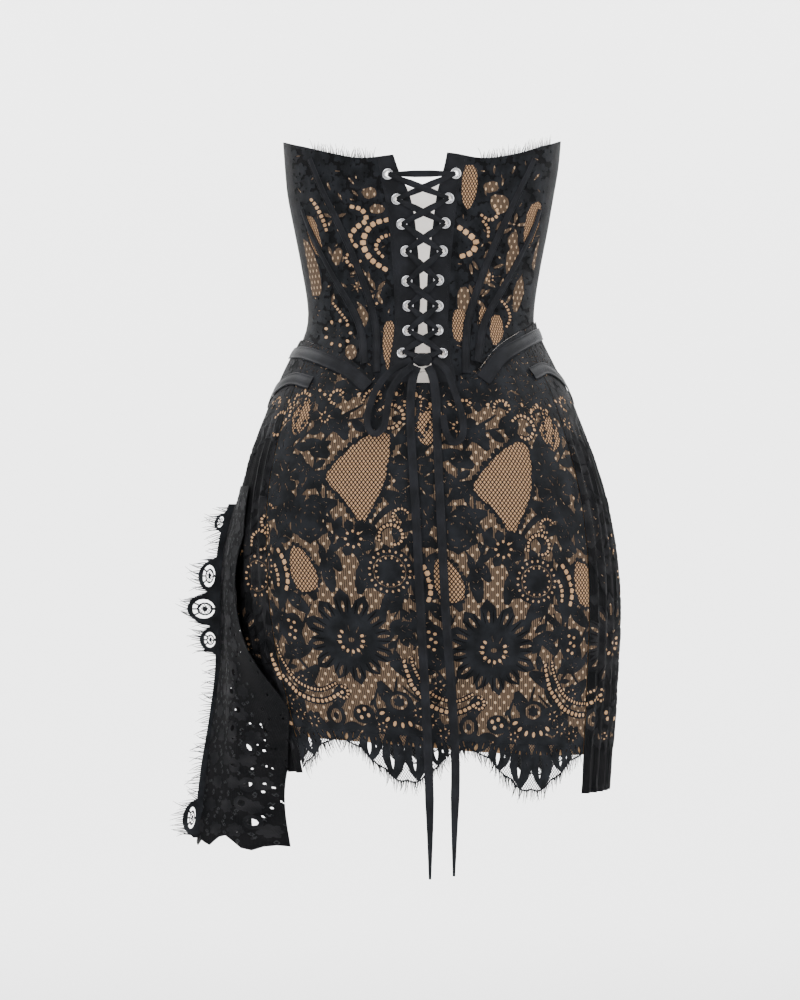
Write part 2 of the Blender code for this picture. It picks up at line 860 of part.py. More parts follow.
def make_lace_half(word, start_degree, end_degree, holes=()):
    """Lace over the lining, and its scalloped border, for the back or the front."""
    start, end = arc_of(start_degree) + SEAM, arc_of(end_degree) - SEAM
    left, right = straight_line(start_degree, SEAM), straight_line(end_degree, -SEAM)
    low, high = shifted(border_join, LEVEL_SEAM), shifted(waist_seam, -LEVEL_SEAM)
    loop = outline(left, right, low, high, COLUMNS, ROWS)
    cloth(
        f"skirt_lace_{word}", LACE, [loop, *holes], skin, LACE_LIFT, CLOTH, COLUMNS, ROWS, LACE_CLEAR,
    )
    edge = scallop_points(start, end)
    join = [(arc, border_join(arc)) for arc in (end, *stations(COLUMNS, end, start), start)]
    gaps = clear_of(hem_holes(start, end), start, end, SIDE_MARGIN)
    cloth(f"hem_lace_{word}", LACE, [edge + join, *gaps], skin, LACE_LIFT, CLOTH)
    return edge


def scallop_points(start, end):
    """Points of the scalloped edge from one side to the other: each petal's ends and tip."""
    step = REPEAT / PETALS / 2
    first = math.ceil((start - VALLEY_ARC) / step + 0.3)
    last = math.floor((end - VALLEY_ARC) / step - 0.3)
    arcs = [start] + [VALLEY_ARC + step * index for index in range(first, last + 1)] + [end]
    return [(arc, scallop(arc)) for arc in arcs]


FRINGE_GAP = 0.0006
FRINGE_STRIP = 0.0016
STRAND_ROOT = 0.0010
HEM_THREAD = 0.0125
HEM_SPACING = 0.0070
TOP_THREAD = 0.0105
TOP_SPACING = 0.0085
DRAPE_THREAD = 0.0150
DRAPE_SPACING = 0.0092
FRINGE_THICK = 0.0009
THREAD_SINK = 0.0001  # the drape's threads lie this far within its outer face
SHORTEST = 0.65  # share of the full length that the shortest threads have
WANDER = 0.2  # a thread leans to the side by up to about this share of its length
WANDER_KEPT = 0.7  # share of one thread's lean that the next one keeps
WANDER_STEP = 0.12


def fringe_loop(edge, way, spacing, length, seed):
    """Outline of a narrow strip beside a cut edge, with tapering strands on its far side.

    The edge is a flat polyline and way tells the flat direction that the strands take.
    """
    draw = random.Random(seed)
    top = [(point[0] + way[0] * FRINGE_GAP, point[1] + way[1] * FRINGE_GAP) for point in edge]
    reach = FRINGE_GAP + FRINGE_STRIP
    far = [(point[0] + way[0] * reach, point[1] + way[1] * reach) for point in edge]
    comb = [far[0]]
    wander = draw.uniform(-WANDER, WANDER)
    for start, end in zip(far, far[1:]):
        run = math.dist(start, end)
        count = max(int(run / spacing + draw.random()), 0)
        along = ((end[0] - start[0]) / run, (end[1] - start[1]) / run)
        for index in range(count):
            where = run * (index + 0.5) / count
            wander = WANDER_KEPT * wander + draw.uniform(-WANDER_STEP, WANDER_STEP)
            tall = length * draw.uniform(SHORTEST, 1.0)
            root = (start[0] + along[0] * where, start[1] + along[1] * where)
            half = STRAND_ROOT / 2
            lean = (way[0] + wander * along[0], way[1] + wander * along[1])
            tip = (root[0] + lean[0] * tall, root[1] + lean[1] * tall)
            comb.append((root[0] - along[0] * half, root[1] - along[1] * half))
            comb.append(tip)
            comb.append((root[0] + along[0] * half, root[1] + along[1] * half))
        comb.append(end)
    loop = comb + top[::-1]
    return loop if signed_area(loop) > 0 else loop[::-1]


def signed_area(loop):
    """Area of a flat loop, above zero when it runs anticlockwise."""
    total = 0.0
    for start, end in zip(loop, loop[1:] + loop[:1]):
        total += start[0] * end[1] - end[0] * start[1]
    return total / 2


def make_hem_fringe(edge):
    """Eyelash threads along the scalloped hem of the back."""
    loop = fringe_loop(edge[1:-1], (0, -1), HEM_SPACING, HEM_THREAD, 5)
    cloth("hem_fringe", LACE, [loop], skin, LACE_LIFT, FRINGE_THICK)


TUFTS = {"left": (-60.0, -24.0), "right": (30.0, 72.0)}


def make_top_fringe():
    """Eyelash threads that stand up from the lace at the upper edge."""
    for word, (start, end) in TUFTS.items():
        arcs = stations(COLUMNS, arc_of(start), arc_of(end))
        edge = [(arc, top_edge(arc)) for arc in arcs]
        loop = fringe_loop(edge, (0, 1), TOP_SPACING, TOP_THREAD, 9)
        cloth(f"top_fringe_{word}", LACE, [loop], skin, FRINGE_THICK / 2, FRINGE_THICK)


PLEATS = 8
PLEAT_RISE = 0.0030
PLEAT_TOP = -0.098  # the band lies flat above this height, under the hip tapes
PLEAT_EASE = 0.040
PLEAT_DRIFT = 0.12  # pleats wander to the side by this share of a pleat
PLEAT_WAVE = 9.0
PLEAT_PHASE = 2.0
PLEAT_COLUMNS = 4  # columns of points in one pleat
BAND_HEM = {"left": -0.448, "right": -0.469}


def make_side_bands():
    """Gathered lace bands down both sides, in soft vertical pleats."""
    for word, side in (("left", -1), ("right", 1)):
        ends = sorted((arc_of(side * BAND_START_ANGLE), arc_of(side * BAND_END_ANGLE)))
        start, end = ends[0] + SEAM / 2, ends[1] - SEAM / 2

        def pleated(arc, height, start=start, end=end):
            share = (arc - start) / (end - start)
            drift = PLEAT_DRIFT * math.sin(PLEAT_WAVE * height + PLEAT_PHASE)
            rise = PLEAT_RISE * (0.5 - 0.5 * math.cos(2 * math.pi * (PLEATS * share + drift)))
            eased = min(max((PLEAT_TOP - height) / PLEAT_EASE, 0.0), 1.0)
            return lifted(skin, arc, height, LACE_LIFT + rise * eased)

        columns = PLEATS * PLEAT_COLUMNS
        arcs = [start + (end - start) * index / columns for index in range(1, columns)]
        valleys = arcs[PLEAT_COLUMNS - 1 :: PLEAT_COLUMNS]
        left, right = level_line(start), level_line(end)
        low, high = level_line(BAND_HEM[word]), shifted(waist_seam, -LEVEL_SEAM)
        loop = outline(left, right, low, high, arcs, ROWS)
        folds = set(arcs) - set(valleys)
        loop = [spot for spot in loop if spot[1] < PLEAT_TOP or spot[0] not in folds]
        flat_rows = [height for height in ROWS if height > PLEAT_TOP]
        pleat_rows = [height for height in ROWS if height < PLEAT_TOP]
        cloth(
            f"side_band_{word}", LACE, [loop], pleated, 0.0, CLOTH,
            arcs, pleat_rows, BAND_CLEAR, [(valleys, flat_rows)],
        )


class Fall(NamedTuple):
    """One level of the long lace drape: how far left its three main lines hang."""

    height: float
    near: float
    outer: float
    far: float
    fold: float


FALLS = (
    Fall(-0.160, -0.150, -0.1750, -0.150, 0.0001),
    Fall(-0.200, -0.170, -0.1900, -0.170, 0.0012),
    Fall(-0.250, -0.184, -0.1985, -0.186, 0.0024),
    Fall(-0.310, -0.183, -0.1990, -0.188, 0.0030),
    Fall(-0.350, -0.176, -0.1990, -0.186, 0.0036),
    Fall(-0.400, -0.161, -0.2050, -0.182, 0.0040),
    Fall(-0.450, -0.146, -0.2130, -0.178, 0.0040),
    Fall(-0.530, -0.128, -0.2220, -0.172, 0.0040),
)
DRAPE_WIDTH = 0.150
DRAPE_BACK = -0.052
DRAPE_FRONT = 0.062
DRAPE_FOLDS = 3
DRAPE_CLEAR = 0.0070


def drape(across, height):
    """Point of the drape; across runs from 0 at its back edge to minus its width at the front."""
    share = min(max(-across / DRAPE_WIDTH, -0.1), 1.1)
    near, outer, far, fold = row_at(FALLS, round(height, 7))
    x = near * (1 - share) * (1 - 2 * share) + outer * 4 * share * (1 - share)
    x += far * share * (2 * share - 1)
    y = DRAPE_BACK + (DRAPE_FRONT - DRAPE_BACK) * share
    left, right, back, front = row_at(RINGS, round(height, 7))
    depth = back if y < 0 else front
    half = (left + right) / 2
    share_out = 1 - abs(y / (depth + DRAPE_CLEAR)) ** ROUNDNESS
    side = (half + DRAPE_CLEAR) * share_out ** (1 / ROUNDNESS)
    x = min(x, (right - left) / 2 - side)
    wave = 0.5 - 0.5 * math.cos(2 * math.pi * DRAPE_FOLDS * share)
    return Vector((x - fold * wave, y, height))


DRAPE_TOP = -0.168
DRAPE_BOTTOM = -0.522
DRAPE_COLUMNS = 12
DRAPE_LEVELS = 10
RAGGED = ((0.004, 2.3), (-0.003, 1.1))  # height and pace of the lower edge's ripples
DRAPE_HOLE_ROWS = 9
DRAPE_HOLE_ROW = 0.0185
DRAPE_HOLE_TOP = -0.352
DRAPE_HOLE_LINES = (-0.016, -0.128)
DRAPE_HOLE_SHIFT = 0.010  # every other row of holes lies this far across
DRAPE_HOLE = (0.0042, 0.0058)


def make_drape():
    """Long gathered lace fall at the left side, with cut holes and a rough lower edge."""
    arcs = [-DRAPE_WIDTH * index / DRAPE_COLUMNS for index in range(DRAPE_COLUMNS + 1)]
    top = [(arc, DRAPE_TOP) for arc in arcs]
    bottom = []
    for index, arc in enumerate(reversed(arcs)):
        ripple = RAGGED[0][0] * math.sin(RAGGED[0][1] * index) + RAGGED[1][0] * math.cos(RAGGED[1][1] * index)
        bottom.append((arc, DRAPE_BOTTOM + ripple))
    drop = (DRAPE_BOTTOM - DRAPE_TOP) / DRAPE_LEVELS
    levels = [DRAPE_TOP + drop * index for index in range(1, DRAPE_LEVELS)]
    near = [(0.0, height) for height in reversed(levels)]
    far = [(-DRAPE_WIDTH, height) for height in levels]
    loop = top + far + bottom + near
    loop = loop if signed_area(loop) > 0 else loop[::-1]
    holes = []
    for row in range(DRAPE_HOLE_ROWS):
        for line in DRAPE_HOLE_LINES:
            across = line - DRAPE_HOLE_SHIFT * (row % 2)
            height = DRAPE_HOLE_TOP - DRAPE_HOLE_ROW * row
            holes.append(ellipse(across, height, *DRAPE_HOLE))
    cloth("side_drape", LACE, [loop, *holes], drape, 0.0, CLOTH, arcs[1:-1], levels)


class Lobe(NamedTuple):
    """A scalloped lobe on the drape's left edge."""

    height: float
    reach: float
    half: float
    wall: float


FLOUNCE = (
    Lobe(-0.204, 0.012, 0.010, 0.0030),
    Lobe(-0.258, 0.020, 0.018, 0.0042),
    Lobe(-0.291, 0.031, 0.017, 0.0048),
    Lobe(-0.322, 0.019, 0.014, 0.0042),
    Lobe(-0.500, 0.016, 0.019, 0.0050),
)
FLOUNCE_EDGE = 0.0035
FLOUNCE_DEPTH = 0.004
FLOUNCE_LEVELS = (-0.230, -0.360, -0.390, -0.420, -0.450)
LOBE_SHARES = (-0.98, -0.85, -0.45, 0.0, 0.45, 0.85, 0.98)
FLOUNCE_TOP = -0.186
FLOUNCE_BOTTOM = -0.520
FLOUNCE_START = 0.0048
FLOUNCE_SWAY = 0.003
FLOUNCE_WAVE = 30
FLOUNCE_STEP = 0.0022  # least height between two points of its edge
ARCH_START = 0.0032  # a lobe's arch starts this far from the drape
ARCH_CLEAR = 0.0035
ARCH_LEAST = 0.004
ARCH_TALL = 0.8  # share of the lobe's height within its walls
ARCH_SIDES = 8


def flounce_surface(across, height):
    """Sheet that stands out to the left from the drape's outermost fold."""
    outer = row_at(FALLS, round(height, 7))[1]
    depth = FLOUNCE_DEPTH + FLOUNCE_SWAY * math.sin(FLOUNCE_WAVE * height)
    left, right = row_at(RINGS, round(height, 7))[:2]
    half = (left + right) / 2
    start = min(outer, (right - left) / 2 - half - DRAPE_CLEAR)
    return Vector((start - FLOUNCE_START + across, depth, height))


def flounce_profile(height):
    """How far out the flounce's edge stands at a height."""
    reach = FLOUNCE_EDGE
    for lobe in FLOUNCE:
        off = (height - lobe.height) / lobe.half
        if abs(off) < 1:
            reach = max(reach, lobe.reach * math.sqrt(1 - off * off))
    return reach


def make_flounce():
    """Scalloped edge of the drape: lobes with see-through arches, fringed with threads."""
    marks = [lobe.height + lobe.half * share for lobe in FLOUNCE for share in LOBE_SHARES]
    heights = [FLOUNCE_TOP]
    for height in sorted([*marks, *FLOUNCE_LEVELS, FLOUNCE_BOTTOM], reverse=True):
        if heights[-1] - height > FLOUNCE_STEP:
            heights.append(height)
    outer_edge = [(-flounce_profile(height), height) for height in heights]
    inner_edge = [(0.0, height) for height in heights[::3]]
    loop = outer_edge + inner_edge[::-1]
    loop = loop if signed_area(loop) > 0 else loop[::-1]
    holes = []
    for lobe in FLOUNCE:
        wide = lobe.reach - lobe.wall - ARCH_CLEAR
        tall = (lobe.half - lobe.wall) * ARCH_TALL
        if wide > ARCH_LEAST:
            holes.append(ellipse(-ARCH_START - wide / 2, lobe.height, wide / 2, tall, ARCH_SIDES))
    cloth("drape_flounce", LACE, [loop, *holes], flounce_surface, 0.0, CLOTH)
    fringe = fringe_loop(outer_edge[1:-1], (-1, 0), DRAPE_SPACING, DRAPE_THREAD, 3)
    cloth("drape_fringe", LACE, [fringe], flounce_surface, -THREAD_SINK, FRINGE_THICK)


class Stop(NamedTuple):
    """One point of a cord's route."""

    across: float
    depth: float
    height: float


TAIL_LEFT = (
    Stop(-0.0055, -0.1084, -0.0532),
    Stop(-0.0095, -0.1122, -0.0640),
    Stop(-0.0118, -0.1165, -0.0860),
    Stop(-0.0118, -0.1220, -0.1130),
    Stop(-0.0100, -0.1275, -0.1450),
    Stop(-0.0077, -0.1310, -0.1820),
    Stop(-0.0052, -0.1325, -0.2280),
    Stop(-0.0029, -0.1322, -0.2780),
    Stop(0.0002, -0.1318, -0.3350),
    Stop(0.0033, -0.1315, -0.3920),
    Stop(0.0054, -0.1312, -0.4400),
    Stop(0.0066, -0.1308, -0.4900),
    Stop(0.0067, -0.1305, -0.5450),
)
TAIL_RIGHT = (
    Stop(0.0050, -0.1084, -0.0532),
    Stop(0.0098, -0.1122, -0.0640),
    Stop(0.0124, -0.1165, -0.0860),
    Stop(0.0134, -0.1222, -0.1150),
    Stop(0.0147, -0.1276, -0.1480),
    Stop(0.0162, -0.1310, -0.1820),
    Stop(0.0185, -0.1325, -0.2280),
    Stop(0.0210, -0.1322, -0.2770),
    Stop(0.0244, -0.1318, -0.3280),
    Stop(0.0277, -0.1315, -0.3730),
    Stop(0.0300, -0.1312, -0.4080),
    Stop(0.0311, -0.1310, -0.4420),
    Stop(0.0302, -0.1308, -0.4900),
    Stop(0.0296, -0.1305, -0.5420),
)
TAIL_POINTS = 20
TAIL_TIP = 0.3  # share of the width left at the tip
TAIL_TAPER = 4  # points over which an end narrows
LOOP_POINTS = 12


def make_tail(name, stops):
    """One flat hanging end of the lace."""
    route = [Vector(point) for point in smooth_route(stops, TAIL_POINTS)]
    normals = [Vector((0, -1, 0))] * TAIL_POINTS
    widths = []
    for index in range(TAIL_POINTS):
        end = min((TAIL_POINTS - 1 - index) / TAIL_TAPER, 1.0)
        widths.append(TAIL_WIDTH * (TAIL_TIP + (1 - TAIL_TIP) * end))
    add_piece(name, strip(ribbon_sections(route, normals, widths, CORD_THICK)), SATIN)


LOOP_LEFT = (
    Stop(-0.0112, -0.1090, -0.0466),
    Stop(-0.0316, -0.1120, -0.0590),
    Stop(-0.0442, -0.1140, -0.0741),
    Stop(-0.0508, -0.1175, -0.0906),
    Stop(-0.0537, -0.1205, -0.1052),
    Stop(-0.0508, -0.1245, -0.1160),
    Stop(-0.0441, -0.1262, -0.1185),
    Stop(-0.0373, -0.1262, -0.1110),
    Stop(-0.0345, -0.1230, -0.0956),
    Stop(-0.0310, -0.1190, -0.0781),
    Stop(-0.0240, -0.1160, -0.0655),
    Stop(-0.0100, -0.1150, -0.0525),
)
LOOP_RIGHT = (
    Stop(0.0108, -0.1090, -0.0466),
    Stop(0.0225, -0.1130, -0.0570),
    Stop(0.0290, -0.1160, -0.0742),
    Stop(0.0345, -0.1205, -0.0907),
    Stop(0.0385, -0.1240, -0.1080),
    Stop(0.0370, -0.1275, -0.1225),
    Stop(0.0290, -0.1290, -0.1270),
    Stop(0.0225, -0.1285, -0.1180),
    Stop(0.0190, -0.1250, -0.1005),
)
KNOT_SIZE = (0.0095, 0.0034, 0.0062)
KNOT_SIDES = 8
KNOT_RINGS = 6
KNOT_PLACE = (-0.0004, -0.1083, -0.0475)


def make_bow():
    """Bow at the foot of the lacing: a knot, two long loops and two hanging ends."""
    for name, stops in (("bow_loop_left", LOOP_LEFT), ("bow_loop_right", LOOP_RIGHT)):
        route = [Vector(point) for point in smooth_route(stops, LOOP_POINTS)]
        normals = [Vector((0, -1, 0))] * len(route)
        widths = [CORD_WIDTH] * len(route)
        add_piece(name, strip(ribbon_sections(route, normals, widths, CORD_THICK)), SATIN)
    mesh = bmesh.new()
    bmesh.ops.create_uvsphere(mesh, u_segments=KNOT_SIDES, v_segments=KNOT_RINGS, radius=1.0)
    bmesh.ops.scale(mesh, vec=KNOT_SIZE, verts=mesh.verts)
    bmesh.ops.translate(mesh, vec=KNOT_PLACE, verts=mesh.verts)
    add_piece("bow_knot", mesh, SATIN)
    make_tail("lace_end_left", TAIL_LEFT)
    make_tail("lace_end_right", TAIL_RIGHT)


class Step(NamedTuple):
    """One place along a crossing: distance from the eyelet, climb out of it, and share of the width."""

    distance: float
    climb: float
    wide: float


CORD_STEPS = (Step(0.0, 0.0, 0.54), Step(0.0030, 1.0, 0.60))
CROSS_SHARES = (0.38, 0.50, 0.62)
RIM_TOP = PLACKET_LIFT + EYELET_LIFT + EYELET_RISE
CORD_DIP = 0.0008
CORD_LOW = RIM_TOP + 0.0005
CORD_HIGH = CORD_LOW + CORD_THICK + 0.0008
CORD_SETTLE = (0.00025, 0.0)  # a crossing starts this much further out than it ends
CORD_BAR = (0.0006, 0.0006)
CORD_FOOT = 0.0093  # the lowest run stands out this far, behind the knot
CORD_SAG = 0.0060


def on_back(first, second, share):
    """Point of the body form part of the way between two places on the back."""
    across = first.across * (1 - share) + second.across * share
    height = first.height * (1 - share) + second.height * share
    return skin(arc_across(across, height), height)


def cord_run(first, second, lift, settle, sag=0.0):
    """Closed bar of lace that dips into one eyelet, crosses the gap and dips into the next."""
    start, _, _, start_out = frame_at(first)
    end, _, _, end_out = frame_at(second)
    length = (end - start).length
    near = [(step.distance / length, step.climb, 0.0, step.wide) for step in CORD_STEPS]
    far = [(1 - share, climb, cross, wide) for share, climb, cross, wide in reversed(near)]
    middle = [(share, 1.0, 1.0, 1.0) for share in CROSS_SHARES]
    points, normals, widths = [], [], []
    for share, climb, cross, wide in (*near, *middle, *far):
        base = start.lerp(end, share) if cross else on_back(first, second, share)
        normal = start_out.lerp(end_out, share).normalized()
        rise = CORD_DIP + (CORD_LOW - CORD_DIP) * climb + (lift - CORD_LOW) * cross
        rise += settle[0] * (1 - share) + settle[1] * share
        points.append(base + normal * rise - Vector((0, 0, sag * cross)))
        normals.append(normal)
        widths.append(CORD_WIDTH * wide)
    return strip(ribbon_sections(points, normals, widths, CORD_THICK))


def make_lacing():
    """The lace between the plackets: a straight bar on top, then crossings down to the bow."""
    runs = [
        (EYELETS_LEFT[0], EYELETS_RIGHT[0], CORD_LOW, CORD_BAR),
        (EYELETS_LEFT[-1], EYELETS_RIGHT[-1], CORD_FOOT, CORD_BAR, CORD_SAG),
    ]
    for row in range(len(EYELETS_LEFT) - 1):
        sides = ((EYELETS_LEFT, EYELETS_RIGHT), (EYELETS_RIGHT, EYELETS_LEFT))
        for index, (near, far) in enumerate(sides):
            lift = CORD_HIGH if index == row % 2 else CORD_LOW
            runs.append((near[row], far[row + 1], lift, CORD_SETTLE))
    lacing = None
    for index, run in enumerate(runs):
        piece = add_piece(f"run_{index}", cord_run(*run), SATIN)
        if lacing is None:
            lacing = piece
            lacing.name = "lacing"
            continue
        piece.hide_render = True
        piece.display_type = "WIRE"
        join = lacing.modifiers.new(f"join_{index}", "BOOLEAN")
        join.operation = "UNION"
        join.solver = "EXACT"
        join.object = piece


def make_eyelets():
    """Eight pairs of silver eyelets."""
    for word, spots in (("left", EYELETS_LEFT), ("right", EYELETS_RIGHT)):
        for index, spot in enumerate(spots, 1):
            make_eyelet(f"eyelet_{word}_{index}", spot)


def main():
    """Build the dress."""
    clear_scene()
    make_bodice()
    make_plackets()
    make_eyelets()
    make_tapes()
    make_skirt_lining()
    cells = skirt_holes(arc_of(-BAND_START_ANGLE), arc_of(BAND_START_ANGLE))
    edge = make_lace_half("back", -BAND_START_ANGLE, BAND_START_ANGLE, cells)
    make_hem_fringe(edge)
    make_lace_half("front", BAND_END_ANGLE, 360 - BAND_END_ANGLE)
    make_side_bands()
    make_drape()
    make_flounce()
    make_top_fringe()
    make_bow()
    make_lacing()


main()
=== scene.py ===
"""Looks of a strapless corset dress: black lace over a nude lining, satin tapes, and a lace-up back.

Metres, +Z up; the laced back faces -Y. Cloth is cut flat in (arc, height), where arc is the way round
the hip from the centre back, and is then laid on the body form, as the dress's solids are.
"""

import bisect
import functools
import json
import logging
import math
import random
from collections.abc import Callable, Iterable, Sequence
from dataclasses import dataclass, field
from enum import Enum
from typing import NamedTuple

import bmesh
import bpy
import numpy
from mathutils import Matrix, Vector
from mathutils.geometry import delaunay_2d_cdt

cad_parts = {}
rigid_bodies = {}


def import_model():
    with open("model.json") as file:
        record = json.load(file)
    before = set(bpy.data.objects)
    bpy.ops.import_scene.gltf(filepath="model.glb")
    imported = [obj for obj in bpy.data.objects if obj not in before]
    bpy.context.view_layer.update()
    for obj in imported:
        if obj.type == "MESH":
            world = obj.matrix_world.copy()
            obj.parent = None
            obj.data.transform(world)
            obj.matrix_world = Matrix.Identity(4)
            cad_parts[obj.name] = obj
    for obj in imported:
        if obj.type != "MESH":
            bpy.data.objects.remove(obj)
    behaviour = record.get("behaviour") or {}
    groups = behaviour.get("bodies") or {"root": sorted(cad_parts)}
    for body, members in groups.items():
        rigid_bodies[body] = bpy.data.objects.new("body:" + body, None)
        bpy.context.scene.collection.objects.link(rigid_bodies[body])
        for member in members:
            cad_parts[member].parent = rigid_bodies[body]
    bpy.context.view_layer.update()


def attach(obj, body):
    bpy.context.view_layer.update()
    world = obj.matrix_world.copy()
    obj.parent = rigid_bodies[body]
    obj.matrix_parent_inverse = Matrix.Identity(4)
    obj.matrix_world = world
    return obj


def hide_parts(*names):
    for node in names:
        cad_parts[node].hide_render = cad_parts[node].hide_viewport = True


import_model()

log = logging.getLogger("corset_dress")

Flat = tuple[float, float]
Surface = Callable[[float, float], Vector]
Line = Callable[[float], float]

ROUNDNESS = 2.2  # power of the superellipse that each ring of the body follows
HIP_HEIGHT = -0.250  # ring on which arcs are measured
CLOTH = 0.0012  # thickness of lining and satin
LACE_THICK = 0.0006
RELIEF = 0.00045  # how far the worked flowers stand out from their net
SEAM = 0.0006  # arc left free between two panels
LEVEL_SEAM = 0.0005  # height left free between an upper and a lower piece
CLOSE_SEAM = 0.00002  # half the gap at a sewn seam, as it shows
WAIST_BINDING = 0.005  # black binding along the lining's upper edge
LACE_LIFT = 0.0017  # outer face of the skirt's net over the lining
TAPE_LIFT = 0.0006  # inner face of a tape over the bodice
TAPE_THICK = 0.0010
HIP_TAPE_LIFT = 0.0031
NUDGE = 0.0004  # step with which slopes are measured
SPLIT = 1e-7  # flat points closer than this are one
FLAT_MAP = "flat"  # the UV map that holds each piece's own cut, in metres


class Ring(NamedTuple):
    """One level of the body form: reach to each side of the origin."""

    height: float
    left: float
    right: float
    back: float
    front: float


RINGS = (
    Ring(0.190, 0.1400, 0.1400, 0.100, 0.108),
    Ring(0.150, 0.1372, 0.1365, 0.097, 0.112),
    Ring(0.122, 0.1345, 0.1318, 0.094, 0.112),
    Ring(0.086, 0.1275, 0.1255, 0.091, 0.108),
    Ring(0.050, 0.1205, 0.1185, 0.088, 0.101),
    Ring(0.014, 0.1146, 0.1128, 0.086, 0.093),
    Ring(-0.006, 0.1145, 0.1121, 0.0856, 0.091),
    Ring(-0.022, 0.1192, 0.1172, 0.088, 0.092),
    Ring(-0.046, 0.1320, 0.1290, 0.096, 0.097),
    Ring(-0.070, 0.1430, 0.1415, 0.105, 0.102),
    Ring(-0.094, 0.1530, 0.1520, 0.113, 0.106),
    Ring(-0.118, 0.1610, 0.1600, 0.119, 0.109),
    Ring(-0.154, 0.1710, 0.1720, 0.125, 0.112),
    Ring(-0.190, 0.1780, 0.1820, 0.127, 0.113),
    Ring(-0.238, 0.1810, 0.1900, 0.126, 0.113),
    Ring(-0.290, 0.1800, 0.1940, 0.122, 0.112),
    Ring(-0.342, 0.1710, 0.1920, 0.117, 0.110),
    Ring(-0.394, 0.1580, 0.1890, 0.111, 0.107),
    Ring(-0.430, 0.1490, 0.1860, 0.107, 0.105),
    Ring(-0.490, 0.1370, 0.1820, 0.101, 0.102),
)


class Edge(NamedTuple):
    """Height of a cut edge at an angle from the centre back, in degrees."""

    angle: float
    height: float


TOP_EDGE = (
    Edge(-180, 0.138),
    Edge(-165, 0.150),
    Edge(-146, 0.168),
    Edge(-120, 0.170),
    Edge(-90, 0.175),
    Edge(-66, 0.1657),
    Edge(-49, 0.156),
    Edge(-34, 0.150),
    Edge(-16, 0.1525),
    Edge(14, 0.1545),
    Edge(34, 0.150),
    Edge(52, 0.1565),
    Edge(66, 0.166),
    Edge(90, 0.176),
    Edge(120, 0.170),
    Edge(146, 0.168),
    Edge(165, 0.150),
    Edge(180, 0.138),
)
WAIST_SEAM = (
    Edge(-180, -0.050),
    Edge(-135, -0.038),
    Edge(-90, -0.026),
    Edge(-77, -0.024),
    Edge(-51, -0.036),
    Edge(-38, -0.047),
    Edge(-26, -0.063),
    Edge(-18, -0.068),
    Edge(0, -0.0695),
    Edge(18, -0.068),
    Edge(25, -0.065),
    Edge(34, -0.050),
    Edge(43, -0.034),
    Edge(57, -0.020),
    Edge(79, -0.006),
    Edge(90, -0.005),
    Edge(135, -0.034),
    Edge(180, -0.050),
)


class Turn(NamedTuple):
    """Angle from the centre back, in degrees, of a seam at a height."""

    height: float
    angle: float


GAP_LEFT = (
    Turn(0.153, -16.5),
    Turn(0.139, -13.7),
    Turn(0.109, -6.2),
    Turn(0.060, -2.3),
    Turn(0.031, -1.1),
    Turn(0.006, -1.0),
    Turn(-0.018, -2.3),
    Turn(-0.037, -3.8),
    Turn(-0.070, -5.0),
)
GAP_RIGHT = (
    Turn(0.155, 13.9),
    Turn(0.139, 12.4),
    Turn(0.109, 8.7),
    Turn(0.060, 5.2),
    Turn(0.031, 3.5),
    Turn(0.006, 3.4),
    Turn(-0.018, 3.7),
    Turn(-0.037, 5.4),
    Turn(-0.070, 6.0),
)
PLACKET_SEAM = (
    Turn(0.153, 25.5),
    Turn(0.109, 21.0),
    Turn(0.060, 18.6),
    Turn(0.006, 17.3),
    Turn(-0.018, 17.3),
    Turn(-0.070, 18.2),
)
INNER_SEAM = (
    Turn(0.155, 60.5),
    Turn(0.112, 52.5),
    Turn(0.069, 43.5),
    Turn(0.025, 35.0),
    Turn(-0.010, 29.0),
    Turn(-0.055, 24.2),
    Turn(-0.070, 23.4),
)
OUTER_SEAM = (
    Turn(0.175, 69.5),
    Turn(0.110, 69.0),
    Turn(0.088, 66.5),
    Turn(0.064, 61.0),
    Turn(0.038, 54.0),
    Turn(-0.004, 40.5),
    Turn(-0.030, 34.5),
    Turn(-0.056, 30.0),
)
HEM_HEIGHT = -0.422
HEM_TILT = 0.010  # the hem hangs lower on the right by this share of the sine of the angle
BAND_START_ANGLE = 64.0
BAND_END_ANGLE = 99.0
REPEAT = 0.143  # arc from one scallop of the lace to the next
VALLEY_ARC = 0.030  # arc of the hem's valley nearest the centre back
SCALLOP_MIDDLE = -0.437
SCALLOP_RISE = 0.019
PETALS = 6  # petals in each scallop
PETAL_RISE = 0.0032
LACE_JOIN = 0.010  # the scalloped border is joined on this far above the lining's hem


class Spot(NamedTuple):
    """Place on the back: across from the middle, and height."""

    across: float
    height: float


EYELETS_LEFT = (
    Spot(-0.0336, 0.1338),
    Spot(-0.0249, 0.1097),
    Spot(-0.0201, 0.0856),
    Spot(-0.0162, 0.0596),
    Spot(-0.0152, 0.0306),
    Spot(-0.0140, 0.0064),
    Spot(-0.0142, -0.0180),
    Spot(-0.0196, -0.0404),
)
EYELETS_RIGHT = (
    Spot(0.0318, 0.1345),
    Spot(0.0250, 0.1105),
    Spot(0.0215, 0.0866),
    Spot(0.0188, 0.0596),
    Spot(0.0152, 0.0316),
    Spot(0.0148, 0.0064),
    Spot(0.0146, -0.0175),
    Spot(0.0187, -0.0406),
)
HIP_TAPE_UPPER = {
    "left": (Turn(-0.0375, -88), Turn(-0.0385, -68), Turn(-0.0465, -52), Turn(-0.0580, -38), Turn(-0.0740, -27)),
    "right": (Turn(-0.0170, 88), Turn(-0.0215, 72), Turn(-0.0320, 56), Turn(-0.0450, 43), Turn(-0.0670, 31)),
}
